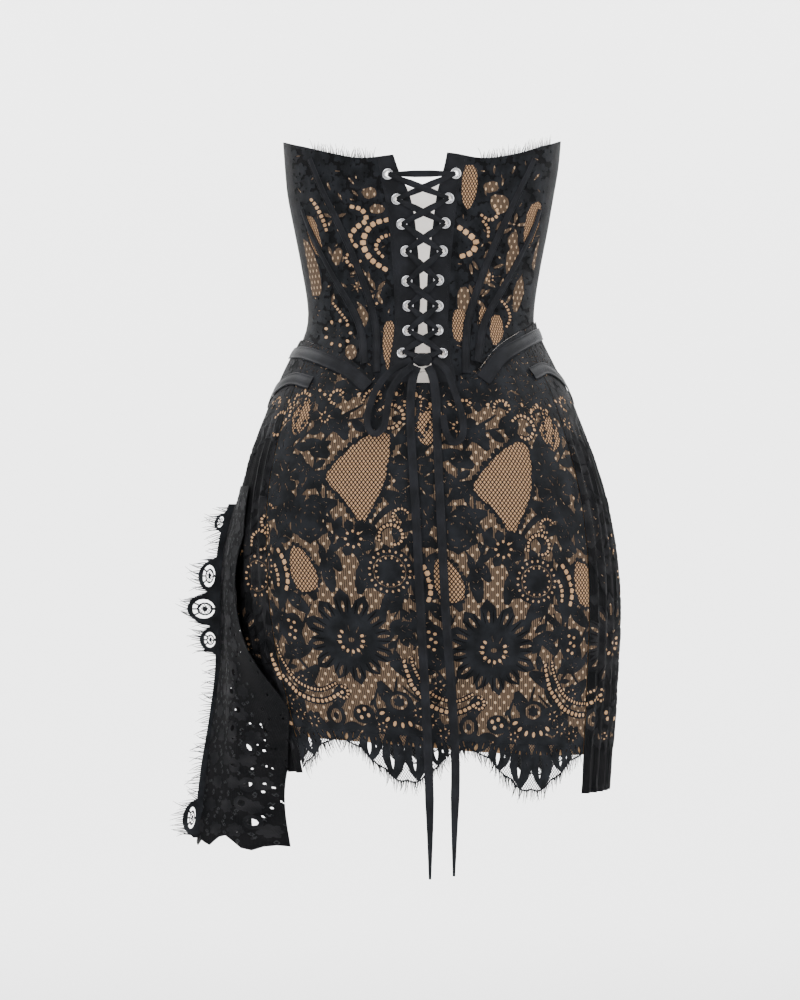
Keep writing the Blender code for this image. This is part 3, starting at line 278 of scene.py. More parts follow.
HIP_TAPE_LOWER = {
    "left": (Turn(-0.0860, -94), Turn(-0.0700, -78), Turn(-0.0640, -67), Turn(-0.0690, -55)),
    "right": (Turn(-0.0830, 94), Turn(-0.0640, 80), Turn(-0.0540, 68), Turn(-0.0600, 57)),
}
TUFTS = {"left": (-60.0, -24.0), "right": (30.0, 72.0)}
BAND_HEM = {"left": -0.448, "right": -0.469}


class FallLine(NamedTuple):
    """One level of the long lace drape: how far left its three main lines hang."""

    height: float
    near: float
    outer: float
    far: float
    fold: float


FALLS = (
    FallLine(-0.160, -0.150, -0.1750, -0.150, 0.0001),
    FallLine(-0.200, -0.170, -0.1900, -0.170, 0.0012),
    FallLine(-0.250, -0.184, -0.1985, -0.186, 0.0024),
    FallLine(-0.310, -0.183, -0.1990, -0.188, 0.0030),
    FallLine(-0.350, -0.176, -0.1990, -0.186, 0.0036),
    FallLine(-0.400, -0.161, -0.2050, -0.182, 0.0040),
    FallLine(-0.450, -0.146, -0.2130, -0.178, 0.0040),
    FallLine(-0.530, -0.128, -0.2220, -0.172, 0.0040),
)


class Lobe(NamedTuple):
    """A scalloped lobe on the drape's left edge."""

    height: float
    reach: float
    half: float
    wall: float


FLOUNCE = (
    Lobe(-0.204, 0.012, 0.010, 0.0030),
    Lobe(-0.258, 0.020, 0.018, 0.0042),
    Lobe(-0.291, 0.031, 0.017, 0.0048),
    Lobe(-0.322, 0.019, 0.014, 0.0042),
    Lobe(-0.500, 0.016, 0.019, 0.0050),
)


class Stop(NamedTuple):
    """One point of a cord's route."""

    across: float
    depth: float
    height: float


TAIL_LEFT = (
    Stop(-0.0055, -0.1084, -0.0532),
    Stop(-0.0095, -0.1122, -0.0640),
    Stop(-0.0118, -0.1165, -0.0860),
    Stop(-0.0118, -0.1220, -0.1130),
    Stop(-0.0100, -0.1275, -0.1450),
    Stop(-0.0077, -0.1310, -0.1820),
    Stop(-0.0052, -0.1325, -0.2280),
    Stop(-0.0029, -0.1322, -0.2780),
    Stop(0.0002, -0.1318, -0.3350),
    Stop(0.0033, -0.1315, -0.3920),
    Stop(0.0054, -0.1312, -0.4400),
    Stop(0.0066, -0.1308, -0.4900),
    Stop(0.0067, -0.1305, -0.5450),
)
TAIL_RIGHT = (
    Stop(0.0050, -0.1084, -0.0532),
    Stop(0.0098, -0.1122, -0.0640),
    Stop(0.0124, -0.1165, -0.0860),
    Stop(0.0134, -0.1222, -0.1150),
    Stop(0.0147, -0.1276, -0.1480),
    Stop(0.0162, -0.1310, -0.1820),
    Stop(0.0185, -0.1325, -0.2280),
    Stop(0.0210, -0.1322, -0.2770),
    Stop(0.0244, -0.1318, -0.3280),
    Stop(0.0277, -0.1315, -0.3730),
    Stop(0.0300, -0.1312, -0.4080),
    Stop(0.0311, -0.1310, -0.4420),
    Stop(0.0302, -0.1308, -0.4900),
    Stop(0.0296, -0.1305, -0.5420),
)
LOOP_LEFT = (
    Stop(-0.0112, -0.1090, -0.0466),
    Stop(-0.0316, -0.1120, -0.0590),
    Stop(-0.0442, -0.1140, -0.0741),
    Stop(-0.0508, -0.1175, -0.0906),
    Stop(-0.0537, -0.1205, -0.1052),
    Stop(-0.0508, -0.1245, -0.1160),
    Stop(-0.0441, -0.1262, -0.1185),
    Stop(-0.0373, -0.1262, -0.1110),
    Stop(-0.0345, -0.1230, -0.0956),
    Stop(-0.0310, -0.1190, -0.0781),
    Stop(-0.0240, -0.1160, -0.0655),
    Stop(-0.0100, -0.1150, -0.0525),
)
LOOP_RIGHT = (
    Stop(0.0108, -0.1090, -0.0466),
    Stop(0.0225, -0.1130, -0.0570),
    Stop(0.0290, -0.1160, -0.0742),
    Stop(0.0345, -0.1205, -0.0907),
    Stop(0.0385, -0.1240, -0.1080),
    Stop(0.0370, -0.1275, -0.1225),
    Stop(0.0290, -0.1290, -0.1270),
    Stop(0.0225, -0.1285, -0.1180),
    Stop(0.0190, -0.1250, -0.1005),
)


def curve_value(keys: Sequence[float], values: Sequence[float], where: float) -> float:
    """Value at one place of a smooth curve.

    Args:
        keys: Places along the curve, rising.
        values: The curve's value at each place.
        where: The place asked for.

    Returns:
        The value there.
    """
    where = min(max(where, keys[0]), keys[-1])
    index = min(max(bisect.bisect_right(keys, where) - 1, 0), len(keys) - 2)
    slopes = []
    for knot in (index, index + 1):
        before = max(knot - 1, 0)
        after = min(knot + 1, len(keys) - 1)
        slopes.append((values[after] - values[before]) / (keys[after] - keys[before]))
    span = keys[index + 1] - keys[index]
    share = (where - keys[index]) / span
    rise = share * share * (3 - 2 * share)
    value = values[index] * (1 - rise) + values[index + 1] * rise
    value += span * slopes[0] * share * (1 - share) ** 2
    return value - span * slopes[1] * share**2 * (1 - share)


@functools.cache
def columns_of(rows: tuple) -> tuple:
    """A table's columns, in the order that makes the first one rise."""
    return tuple(tuple(column) for column in zip(*sorted(rows)))


@functools.lru_cache(maxsize=None)
def row_at(rows: tuple, key: float) -> tuple[float, ...]:
    """The other columns of a table at a value of its first column."""
    first, *others = columns_of(rows)
    return tuple(curve_value(first, column, key) for column in others)


def smooth_route(points: Sequence[Sequence[float]], count: int) -> list[tuple[float, ...]]:
    """Points along a smooth curve.

    Args:
        points: The route's own points.
        count: How many points to return.

    Returns:
        Points at even steps along the route.
    """
    lengths = [0.0]
    for before, after in zip(points, points[1:]):
        lengths.append(lengths[-1] + math.dist(before, after))
    columns = list(zip(*points))
    return [
        tuple(curve_value(lengths, column, lengths[-1] * index / (count - 1)) for column in columns)
        for index in range(count)
    ]


@dataclass(frozen=True)
class BodyForm:
    """General figure that the dress is worn on, given ring by ring."""

    cup_angle: float = 144.0
    cup_height: float = 0.098
    cup_spread_angle: float = 21.0
    cup_spread_height: float = 0.040
    cup_depth: float = 0.017
    first_degree: int = -200
    last_degree: int = 280

    def cup_reach(self, angle: float, height: float) -> float:
        """How far the front cups stand out at an angle and height."""
        off_angle = (abs(round_angle(math.degrees(angle))) - self.cup_angle) / self.cup_spread_angle
        off_height = (height - self.cup_height) / self.cup_spread_height
        return self.cup_depth * math.exp(-(off_angle**2) - off_height**2)

    def point(self, angle: float, height: float) -> Vector:
        """Point of the form.

        Args:
            angle: Turn from the centre back, in radians.
            height: Level over the waist.

        Returns:
            The point, in metres.
        """
        left, right, back, front = row_at(RINGS, round(height, 5))
        half = (left + right) / 2
        depth = back if math.cos(angle) > 0 else front
        power = abs(math.cos(angle) / depth) ** ROUNDNESS + abs(math.sin(angle) / half) ** ROUNDNESS
        reach = power ** (-1 / ROUNDNESS) + self.cup_reach(angle, height)
        middle = (right - left) / 2
        return Vector((middle + reach * math.sin(angle), -reach * math.cos(angle), height))

    @functools.cached_property
    def arcs(self) -> list[float]:
        """Arc round the hip at each whole degree."""
        degrees = range(self.first_degree, self.last_degree + 1)
        points = [self.point(math.radians(degree), HIP_HEIGHT) for degree in degrees]
        arcs = [0.0]
        for before, after in zip(points, points[1:]):
            arcs.append(arcs[-1] + (after - before).length)
        zero = arcs[-self.first_degree]
        return [arc - zero for arc in arcs]

    def arc_of(self, degree: float) -> float:
        """Arc round the hip at an angle in degrees."""
        index = min(max(math.floor(degree) - self.first_degree, 0), len(self.arcs) - 2)
        share = degree - self.first_degree - index
        return self.arcs[index] * (1 - share) + self.arcs[index + 1] * share

    def angle_of(self, arc: float) -> float:
        """Angle in degrees at an arc round the hip."""
        index = min(max(bisect.bisect_right(self.arcs, arc) - 1, 0), len(self.arcs) - 2)
        share = (arc - self.arcs[index]) / (self.arcs[index + 1] - self.arcs[index])
        return self.first_degree + index + share

    def skin(self, arc: float, height: float) -> Vector:
        """Point of the form at a place of the flat cut."""
        return self.point(math.radians(self.angle_of(arc)), height)

    def breadth(self, arc: float, height: float) -> float:
        """Real metres round the form for each metre of arc."""
        return (self.skin(arc + NUDGE, height) - self.skin(arc - NUDGE, height)).length / (2 * NUDGE)

    def arc_across(self, across: float, height: float) -> float:
        """Arc of the back's point at a distance across from the middle."""
        left, right, back, _front = row_at(RINGS, round(height, 5))
        half = (left + right) / 2
        side = min(max(across - (right - left) / 2, -0.999 * half), 0.999 * half)
        depth = back * (1 - (abs(side) / half) ** ROUNDNESS) ** (1 / ROUNDNESS)
        return self.arc_of(math.degrees(math.atan2(side, depth)))

    def seen_at(self, across: float, height: float) -> Flat:
        """Flat place of the back that the camera sees at a point of the upright plane through the origin.

        Args:
            across: Metres to the right of the origin in that plane.
            height: Metres over the origin in that plane.

        Returns:
            Arc and height of the place on the back.
        """
        depth, level, arc = 0.1, height, 0.0
        for _ in range(6):
            share = (VIEW_DISTANCE - depth) / VIEW_DISTANCE
            level = VIEW_HEIGHT + (height - VIEW_HEIGHT) * share
            arc = self.arc_across(VIEW_ACROSS + (across - VIEW_ACROSS) * share, level)
            depth = -self.skin(arc, level).y
        return arc, level


def round_angle(degree: float) -> float:
    """The same angle between -180 and 180 degrees."""
    return (degree + 180) % 360 - 180


VIEW_ACROSS = -0.022
VIEW_HEIGHT = -0.182
VIEW_DISTANCE = 3.0
FORM = BodyForm()


def normal_of(surface: Surface, arc: float, height: float) -> Vector:
    """Direction away from a surface at a flat place."""
    across = surface(arc + NUDGE, height) - surface(arc - NUDGE, height)
    up = surface(arc, height + NUDGE) - surface(arc, height - NUDGE)
    return across.cross(up).normalized()


def lifted(surface: Surface, arc: float, height: float, out: float) -> Vector:
    """Point at a distance out from a surface."""
    return surface(arc, height) + normal_of(surface, arc, height) * out


def top_edge(arc: float) -> float:
    """Height of the dress's upper edge."""
    return row_at(TOP_EDGE, round(round_angle(FORM.angle_of(arc)), 5))[0]


def waist_seam(arc: float) -> float:
    """Height of the seam between bodice and skirt."""
    return row_at(WAIST_SEAM, round(round_angle(FORM.angle_of(arc)), 5))[0]


def hem_drop(arc: float) -> float:
    """How much lower the hem hangs at an arc."""
    return -HEM_TILT * math.sin(math.radians(FORM.angle_of(arc)))


def lining_hem(arc: float) -> float:
    """Height of the lining's lower edge."""
    return HEM_HEIGHT + hem_drop(arc)


def border_join(arc: float) -> float:
    """Height of the join between the skirt's lace and its scalloped border."""
    return lining_hem(arc) + LACE_JOIN


def scallop(arc: float) -> float:
    """Height of the lace's scalloped edge, with its petals."""
    turn = 2 * math.pi * (arc - VALLEY_ARC) / REPEAT
    petal = PETAL_RISE * abs(math.sin(PETALS * turn / 2))
    return SCALLOP_MIDDLE + hem_drop(arc) + SCALLOP_RISE * math.cos(turn) - petal


def seam_line(rows: tuple, side: int = 1, shift: float = 0.0) -> Line:
    """A seam from a table, as a function from height to arc."""
    return lambda height: FORM.arc_of(side * row_at(rows, round(height, 7))[0]) + shift


def level_line(value: float) -> Line:
    """A cut edge that keeps one value all along."""
    return lambda where: value


def straight_line(degree: float, shift: float = 0.0) -> Line:
    """A seam at one angle, as a function from height to arc."""
    return level_line(FORM.arc_of(degree) + shift)


def shifted(edge: Line, shift: float) -> Line:
    """A cut edge moved by a distance."""
    return lambda where: edge(where) + shift


def corner(side: Line, level: Line) -> Flat:
    """Where a side line meets a level line."""
    height = level(side(0.0))
    for _ in range(12):
        height = level(side(height))
    return side(height), height


def steps_between(first: float, last: float, step: float) -> list[float]:
    """Even values between first and last, without the two, about a step apart."""
    count = max(round(abs(last - first) / step), 1)
    return [first + (last - first) * index / count for index in range(1, count)]


def outline(left: Line, right: Line, bottom: Line, top: Line, step: float = 0.008) -> list[Flat]:
    """Cut outline of a panel, anticlockwise.

    Args:
        left: Left side, from height to arc.
        right: Right side, from height to arc.
        bottom: Lower edge, from arc to height.
        top: Upper edge, from arc to height.
        step: Distance between its points.

    Returns:
        The outline's flat points.
    """
    low_left, low_right = corner(left, bottom), corner(right, bottom)
    high_left, high_right = corner(left, top), corner(right, top)
    points = [low_left]
    points += [(arc, bottom(arc)) for arc in steps_between(low_left[0], low_right[0], step)]
    points.append(low_right)
    points += [(right(height), height) for height in steps_between(low_right[1], high_right[1], step)]
    points.append(high_right)
    points += [(arc, top(arc)) for arc in steps_between(high_right[0], high_left[0], step)]
    points.append(high_left)
    points += [(left(height), height) for height in steps_between(high_left[1], low_left[1], step)]
    return points


def signed_area(loop: Sequence[Flat]) -> float:
    """Area of a flat loop, above zero when it runs anticlockwise."""
    total = 0.0
    for start, end in zip(loop, [*loop[1:], loop[0]]):
        total += start[0] * end[1] - end[0] * start[1]
    return total / 2


def ordered(loop: Sequence[Flat]) -> list[Flat]:
    """The loop, run anticlockwise."""
    return list(loop) if signed_area(loop) > 0 else list(reversed(loop))


def within(loop: Sequence[Flat], places: numpy.ndarray) -> numpy.ndarray:
    """Which places lie inside a loop.

    Args:
        loop: The loop's points.
        places: Flat places, one a row.

    Returns:
        True for each place inside.
    """
    lows, highs = numpy.min(loop, axis=0), numpy.max(loop, axis=0)
    near = numpy.nonzero(((places >= lows) & (places <= highs)).all(axis=1))[0]
    across, up = places[near, 0], places[near, 1]
    odd = numpy.zeros(len(near), dtype=bool)
    for (start_x, start_y), (end_x, end_y) in zip(loop, [*loop[1:], loop[0]]):
        if start_y != end_y:
            meets = (end_x - start_x) * (up - start_y) / (end_y - start_y) + start_x
            odd ^= ((start_y > up) != (end_y > up)) & (across < meets)
    inside = numpy.zeros(len(places), dtype=bool)
    inside[near[odd]] = True
    return inside


class Role(Enum):
    """What a part of the lace is."""

    GROUND = 0
    NET = 1
    CELL = 2
    THREAD = 3
    INSIDE = 4
    # dense black ground, sunk below the worked thread; its darker colour is partly the net's own black and partly
    # painted shade between the raised petals
    DENSE = 5
    HOLE = 6


@dataclass(frozen=True)
class Shape:
    """One shape of the lace: what it is, which lies on which, and its flat outline."""

    role: Role
    level: int
    loop: tuple[Flat, ...]


def link(mesh_data: bmesh.types.BMesh, name: str, finishes: Sequence[bpy.types.Material],
         angle: float = 40.0) -> bpy.types.Object:
    """Puts a finished mesh in the scene as one piece that rides on the dress.

    Args:
        mesh_data: The piece's mesh.
        name: The piece's name.
        finishes: Its materials, by index.
        angle: Edges sharper than this stay sharp, in degrees.

    Returns:
        The piece.
    """
    mesh = bpy.data.meshes.new(name)
    mesh_data.to_mesh(mesh)
    mesh_data.free()
    mesh.shade_smooth()
    mesh.set_sharp_from_angle(angle=math.radians(angle))
    for finish in finishes:
        mesh.materials.append(finish)
    piece = bpy.data.objects.new(name, mesh)
    bpy.context.scene.collection.objects.link(piece)
    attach(piece, "root")
    log.info("made %s: %d faces", name, len(mesh.polygons))
    return piece


@dataclass
class LaceCloth:
    """A sheet of lace or plain cloth, cut flat with its worked shapes and laid on a surface."""

    name: str
    cut: list[Flat]
    surface: Surface
    outer: float
    thick: float
    shapes: list[Shape] = field(default_factory=list)
    relief: float = RELIEF
    net_step: float = 0.009
    ground: Role = Role.GROUND
    closed: bool = True

    def grid(self) -> list[Flat]:
        """Points of a net inside the cut's box, so that the cloth follows its surface."""
        arcs = [point[0] for point in self.cut]
        heights = [point[1] for point in self.cut]
        columns = steps_between(min(arcs), max(arcs), self.net_step)
        rows = steps_between(min(heights), max(heights), self.net_step)
        return [(arc, height) for arc in columns for height in rows]

    def near(self, shape: Shape) -> bool:
        """Whether a shape's box meets the cut's box."""
        for axis in (0, 1):
            mine = [point[axis] for point in self.cut]
            its = [point[axis] for point in shape.loop]
            if max(its) < min(mine) or min(its) > max(mine):
                return False
        return True

    @functools.cached_property
    def parts(self) -> tuple[list[Flat], list[tuple[tuple[int, ...], Role]]]:
        """The cut's flat points and its triangles, each with its role, the openings among them."""
        shapes = sorted((shape for shape in self.shapes if self.near(shape)), key=lambda shape: shape.level)
        flat: list[Flat] = []
        faces: list[list[int]] = []
        for loop in (ordered(self.cut), *(ordered(shape.loop) for shape in shapes)):
            faces.append(list(range(len(flat), len(flat) + len(loop))))
            flat += loop
        flat += self.grid()
        corners, _, triangles, _, _, _ = delaunay_2d_cdt([Vector(point) for point in flat], [], faces, 0, SPLIT)
        places = numpy.array(corners, dtype=float)
        middles = places[numpy.array(triangles)].mean(axis=1)
        roles = numpy.full(len(triangles), self.ground.value)
        for shape in shapes:
            roles[within(shape.loop, middles)] = shape.role.value
        kept = within(self.cut, middles)
        return [tuple(point) for point in corners], [
            (tuple(triangle), Role(int(role))) for triangle, role, held in zip(triangles, roles, kept) if held
        ]

    def build(self, finishes: Sequence[bpy.types.Material]) -> bpy.types.Object:
        """Makes the closed sheet.

        Args:
            finishes: Materials in the order of Role, without the hole.

        Returns:
            The piece.
        """
        flat, triangles = self.parts
        triangles = [part for part in triangles if part[1] is not Role.HOLE]
        mesh = bmesh.new()
        lay = mesh.loops.layers.uv.new(FLAT_MAP)
        levels = {"high": self.outer + self.relief, "low": self.outer, "back": self.outer - self.thick}
        frames: dict[int, tuple[Vector, Vector]] = {}
        verts: dict[tuple[int, str], bmesh.types.BMVert] = {}

        def vert(index: int, level: str) -> bmesh.types.BMVert:
            """The mesh's point of a flat point at one level of the sheet."""
            if (index, level) not in verts:
                if index not in frames:
                    arc, height = flat[index]
                    frames[index] = (self.surface(arc, height), normal_of(self.surface, arc, height))
                point, normal = frames[index]
                verts[index, level] = mesh.verts.new(point + normal * levels[level])
            return verts[index, level]

        def add(corners: Sequence[tuple[int, str]], role: Role) -> None:
            """Adds one face with its role and its flat map."""
            face = mesh.faces.new([vert(*spot) for spot in corners])
            face.material_index = role.value
            for loop, (index, _level) in zip(face.loops, corners):
                loop[lay].uv = flat[index]

        owners: dict[tuple[int, int], Role] = {}
        for triangle, role in triangles:
            for start, end in zip(triangle, triangle[1:] + triangle[:1]):
                owners[start, end] = role
        for triangle, role in triangles:
            top = "high" if role is Role.THREAD and self.relief else "low"
            add([(index, top) for index in triangle], role)
            if self.closed:
                add([(index, "back") for index in reversed(triangle)], Role.INSIDE)
            for start, end in zip(triangle, triangle[1:] + triangle[:1]):
                other = owners.get((end, start))
                if other is None and self.closed:
                    side = role if role in (Role.THREAD, Role.DENSE) else Role.INSIDE
                    add([(end, "low"), (start, "low"), (start, "back"), (end, "back")], side)
                if role is Role.THREAD and other is not Role.THREAD and self.relief:
                    add([(end, "high"), (start, "high"), (start, "low"), (end, "low")], Role.THREAD)
        return link(mesh, self.name, finishes)

    def flat_size(self) -> tuple[tuple[float, float], float]:
        """The smallest rectangle that the cut lies in, as width and length, and its area before openings are cut."""
        places = [self.surface(*point) for point in self.parts[0]]
        area = 0.0
        for (first, second, third), _role in self.parts[1]:
            area += (places[second] - places[first]).cross(places[third] - places[first]).length / 2
        middle = sum(arc for arc, _height in self.cut) / len(self.cut)
        points = []
        for arc, height in self.cut:
            across = self.surface(middle + NUDGE, height) - self.surface(middle - NUDGE, height)
            points.append(((arc - middle) * across.length / (2 * NUDGE), height))
        sizes = []
        for turn in range(0, 180, 2):
            lain = [turned(point, turn) for point in points]
            sides = [max(point[axis] for point in lain) - min(point[axis] for point in lain) for axis in (0, 1)]
            sizes.append(sides)
        width, length = min(sizes, key=lambda sides: sides[0] * sides[1])
        return (max(width, area / length * 1.01), length), area


MILLI = 0.001  # patterns are drawn in millimetres


def turned(point: Flat, turn: float, middle: Flat = (0.0, 0.0)) -> Flat:
    """A point turned about the origin by degrees and then moved to a middle."""
    cos, sin = math.cos(math.radians(turn)), math.sin(math.radians(turn))
    return middle[0] + point[0] * cos - point[1] * sin, middle[1] + point[0] * sin + point[1] * cos


def rounded(points: Sequence[Flat], passes: int = 1) -> list[Flat]:
    """A closed loop with its corners cut round."""
    for _ in range(passes):
        cut = []
        for (start_x, start_y), (end_x, end_y) in zip(points, [*points[1:], points[0]]):
            for share in (0.22, 0.78):
                cut.append((start_x + (end_x - start_x) * share, start_y + (end_y - start_y) * share))
        points = cut
    return list(points)


@dataclass
class Pattern:
    """Drawing of worked lace in millimetres, from traditional flowers, leaves, scrolls and cells."""

    shapes: list[Shape] = field(default_factory=list)

    def add(self, role: Role, level: int, loop: Iterable[Flat]) -> None:
        """Adds one shape."""
        self.shapes.append(Shape(role, level, tuple(loop)))

    def disc(self, middle: Flat, wide: float, tall: float, role: Role, level: int, turn: float = 0.0,
             sides: int = 9) -> None:
        """Adds an oval.

        Args:
            middle: Its middle.
            wide: Its reach across.
            tall: Its reach up.
            role: What it is.
            level: What it lies on.
            turn: Degrees by which it is turned.
            sides: How many points it has.
        """
        steps = [2 * math.pi * index / sides for index in range(sides)]
        self.add(role, level, (turned((wide * math.cos(at), tall * math.sin(at)), turn, middle) for at in steps))

    def petal(self, middle: Flat, turn: float, start: float, length: float, width: float, role: Role,
              level: int) -> None:
        """Adds a pointed petal that runs outwards from a middle.

        Args:
            middle: The flower's middle.
            turn: Direction of the petal in degrees.
            start: Distance from the middle to its foot.
            length: Length from foot to tip.
            width: Greatest width.
            role: What it is.
            level: What it lies on.
        """
        half = ((0.0, 0.16), (0.25, 0.38), (0.55, 0.5), (0.80, 0.32)) if length > 7 else ((0.08, 0.3), (0.5, 0.5))
        right = [(start + length * along, width * out) for along, out in half]
        left = [(along, -out) for along, out in right]
        ring = [*right, (start + length, 0.0), *reversed(left)]
        self.add(role, level, (turned(point, turn, middle) for point in ring))

    def band(self, points: Sequence[Flat], width: float, role: Role, level: int, count: int = 0,
             ends: float = 0.35) -> list[Flat]:
        """Adds a band along a smooth curve.

        Args:
            points: The curve's own points.
            width: Its greatest width.
            role: What it is.
            level: What it lies on.
            count: How many steps it has, or none for one each 4 mm.
            ends: Share of the width at its two ends.

        Returns:
            The curve's points.
        """
        run = sum(math.dist(before, after) for before, after in zip(points, points[1:]))
        route = smooth_route(points, count or max(int(run / 4) + 2, 4))
        sides: tuple[list[Flat], list[Flat]] = ([], [])
        for index, point in enumerate(route):
            ahead, behind = route[min(index + 1, len(route) - 1)], route[max(index - 1, 0)]
            size = math.dist(ahead, behind) or 1.0
            across = (-(ahead[1] - behind[1]) / size, (ahead[0] - behind[0]) / size)
            share = index / (len(route) - 1)
            half = width / 2 * (ends + (1 - ends) * math.sin(math.pi * share) ** 0.6)
            for side, way in zip(sides, (1, -1)):
                side.append((point[0] + across[0] * half * way, point[1] + across[1] * half * way))
        self.add(role, level, sides[0] + sides[1][::-1])
        return route

    def cell(self, middle: Flat, long: float, wide: float, role: Role, level: int, turn: float) -> None:
        """Adds a rounded cell.

        Args:
            middle: Its middle.
            long: Its reach along.
            wide: Its reach across.
            role: What it is.
            level: What it lies on.
            turn: Degrees by which it is turned.
        """
        ring = ((1, 0), (0.7, 0.95), (-0.7, 0.95), (-1, 0), (-0.7, -0.95), (0.7, -0.95))
        self.add(role, level, (turned((long * x, wide * y), turn, middle) for x, y in ring))

    def pebbles(self, points: Sequence[Flat], size: float, level: int, role: Role = Role.CELL,
                bed: float = 1.55, pitch: float = 1.05) -> None:
        """Adds a row of rounded cells with thin bars between, worked into a band.

        Args:
            points: The row's own points.
            size: Width of the cells in the middle of the row.
            level: What the band lies on; the cells lie one higher.
            role: What the cells are.
            bed: Width of the band as a share of the cells' size.
            pitch: Distance between cells as a share of their size.
        """
        run = sum(math.dist(before, after) for before, after in zip(points, points[1:]))
        self.band(points, size * bed, Role.THREAD, level, ends=0.8)
        count = max(int(run / (size * pitch)), 2)
        route = smooth_route(points, 2 * count + 1)
        for index in range(count):
            behind, point, ahead = route[2 * index:2 * index + 3]
            turn = math.degrees(math.atan2(ahead[1] - behind[1], ahead[0] - behind[0]))
            grown = 0.70 + 0.30 * math.sin(math.pi * (index + 0.5) / count)
            long = max(math.dist(ahead, behind) / 2 - 0.52, 0.5)
            self.cell(point, long, size / 2 * grown, role, level + 1, turn)

    def vine(self, points: Sequence[Flat], leaf: float, every: float, level: int) -> None:
        """Adds a stem with leaves on both sides.

        Args:
            points: The stem's own points.
            leaf: Length of its leaves.
            every: Distance between two leaves.
            level: What it lies on.
        """
        route = self.band(points, 2.8, Role.THREAD, level)
        run = sum(math.dist(before, after) for before, after in zip(route, route[1:]))
        count = max(int(run / every), 2)
        route = smooth_route(route, count + 1)
        for index in range(1, count + 1):
            ahead, behind = route[index], route[index - 1]
            turn = math.degrees(math.atan2(ahead[1] - behind[1], ahead[0] - behind[0]))
            way = 1 if index % 2 else -1
            length = leaf * (0.82 + 0.18 * math.sin(2.3 * index))
            self.leaf(behind, turn + way * (38 + 9 * math.sin(index)), length, length * 0.46, level, slits=index % 2)

    def flower(self, middle: Flat, reach: float, petals: int, level: int, turn: float = 90.0,
               heart: int = 9, uneven: float = 0.16, slits: bool = True) -> None:
        """Adds a flower of pointed petals round a heart of cells.

        Args:
            middle: Its middle.
            reach: Length of its longest petals.
            petals: How many petals its outer ring has.
            level: What it lies on.
            turn: Direction of its longest petal in degrees.
            heart: How many cells its heart has, or none.
            uneven: How much shorter its shortest petals are, as a share.
            slits: Whether ground shows between the petals.
        """
        ring: list[Flat] = []
        apart = 180 / petals
        for index in range(petals):
            at = turn + 360 * index / petals
            length = reach * (1 - uneven * (0.5 - 0.5 * math.cos(math.radians(at - turn))))
            length *= 1 - 0.06 * (index % 2)
            ring.append(turned((reach * 0.62, 0.0), at - apart, middle))
            for share, off in ((0.85, -0.68), (1.0, 0.0), (0.85, 0.68)):
                ring.append(turned((length * share, 0.0), at + apart * off, middle))
        self.add(Role.THREAD, level, ring)
        if slits:
            for index in range(petals):
                at = turn + 360 * (index + 0.5) / petals
                self.petal(middle, at, reach * 0.30, reach * 0.34, reach * 0.030 + 0.5, Role.GROUND, level + 1)
        for index in range(heart):
            at = math.radians(turn - 60 - 270 * index / max(heart - 1, 1))
            place = turned((reach * 0.25, 0.0), math.degrees(at), middle)
            self.disc(place, reach * 0.045 + 0.5, reach * 0.035 + 0.5, Role.CELL, level + 2, math.degrees(at), 7)

    def leaf(self, foot: Flat, turn: float, length: float, width: float, level: int, inner: Role | None = None,
             slits: int = 0) -> None:
        """Adds a pointed leaf, solid or with another ground inside its border.

        Args:
            foot: Where it starts.
            turn: Its direction in degrees.
            length: Its length.
            width: Its width.
            level: What it lies on.
            inner: What its middle is, or none where it is solid.
            slits: How many short gaps follow its vein.
        """
        length, width = length * 1.1, width * 1.2
        self.petal(foot, turn, 0.0, length, width, Role.THREAD, level)
        if inner is not None:
            wall = 1.3
            inside = max(width - 2 * wall, 1.0)
            self.petal(foot, turn, wall * 1.6, length - wall * 3.6, inside, inner, level + 1)
        for index in range(slits):
            share = (index + 1) / (slits + 1)
            for way in (-1, 1):
                start = turned((length * (0.16 + 0.62 * share), way * width * 0.07), turn, foot)
                self.petal(start, turn + way * 38, 0.0, width * 0.30, 0.75, Role.GROUND, level + 1)

    def scroll(self, middle: Flat, reach: float, start: float, sweep: float, size: float, level: int) -> None:
        """Adds a curl of cells.

        Args:
            middle: Its middle.
            reach: Its radius where it starts.
            start: Direction in which it starts, in degrees.
            sweep: Degrees that it turns through, in the sense of its sign.
            size: Diameter of its cells.
            level: What it lies on.
        """
        points = []
        for index in range(7):
            share = index / 6
            radius = reach * (1 - 0.45 * share)
            points.append(turned((radius, 0.0), start + sweep * share, middle))
        self.pebbles(points, size, level)

    def window(self, points: Sequence[Flat], level: int, role: Role = Role.NET, border: float = 1.5,
               bobble: float = 0.0) -> None:
        """Adds a window of net or dotted ground with a worked border.

        Args:
            points: Corners of the window.
            level: What it lies on; the window lies one higher.
            role: What fills it.
            border: Width of its border.
            bobble: Size of the small lobes along its border, or none.
        """
        points = rounded(points)
        middle = (sum(x for x, _ in points) / len(points), sum(y for _, y in points) / len(points))
        grown = []
        for x, y in points:
            share = 1 + border / (math.dist((x, y), middle) or 1.0)
            grown.append((middle[0] + (x - middle[0]) * share, middle[1] + (y - middle[1]) * share))
        self.add(Role.THREAD, level, grown)
        self.add(role, level + 1, points)
        if bobble:
            run = sum(math.dist(before, after) for before, after in zip(grown, grown[1:]))
            for index, place in enumerate(smooth_route([*grown, grown[0]], int(run / bobble * 0.8))):
                size = bobble * (0.62 + 0.24 * math.sin(2.1 * index))
                self.disc(place, size, size * 0.86, Role.THREAD, level + 2, 40 * index, 8)

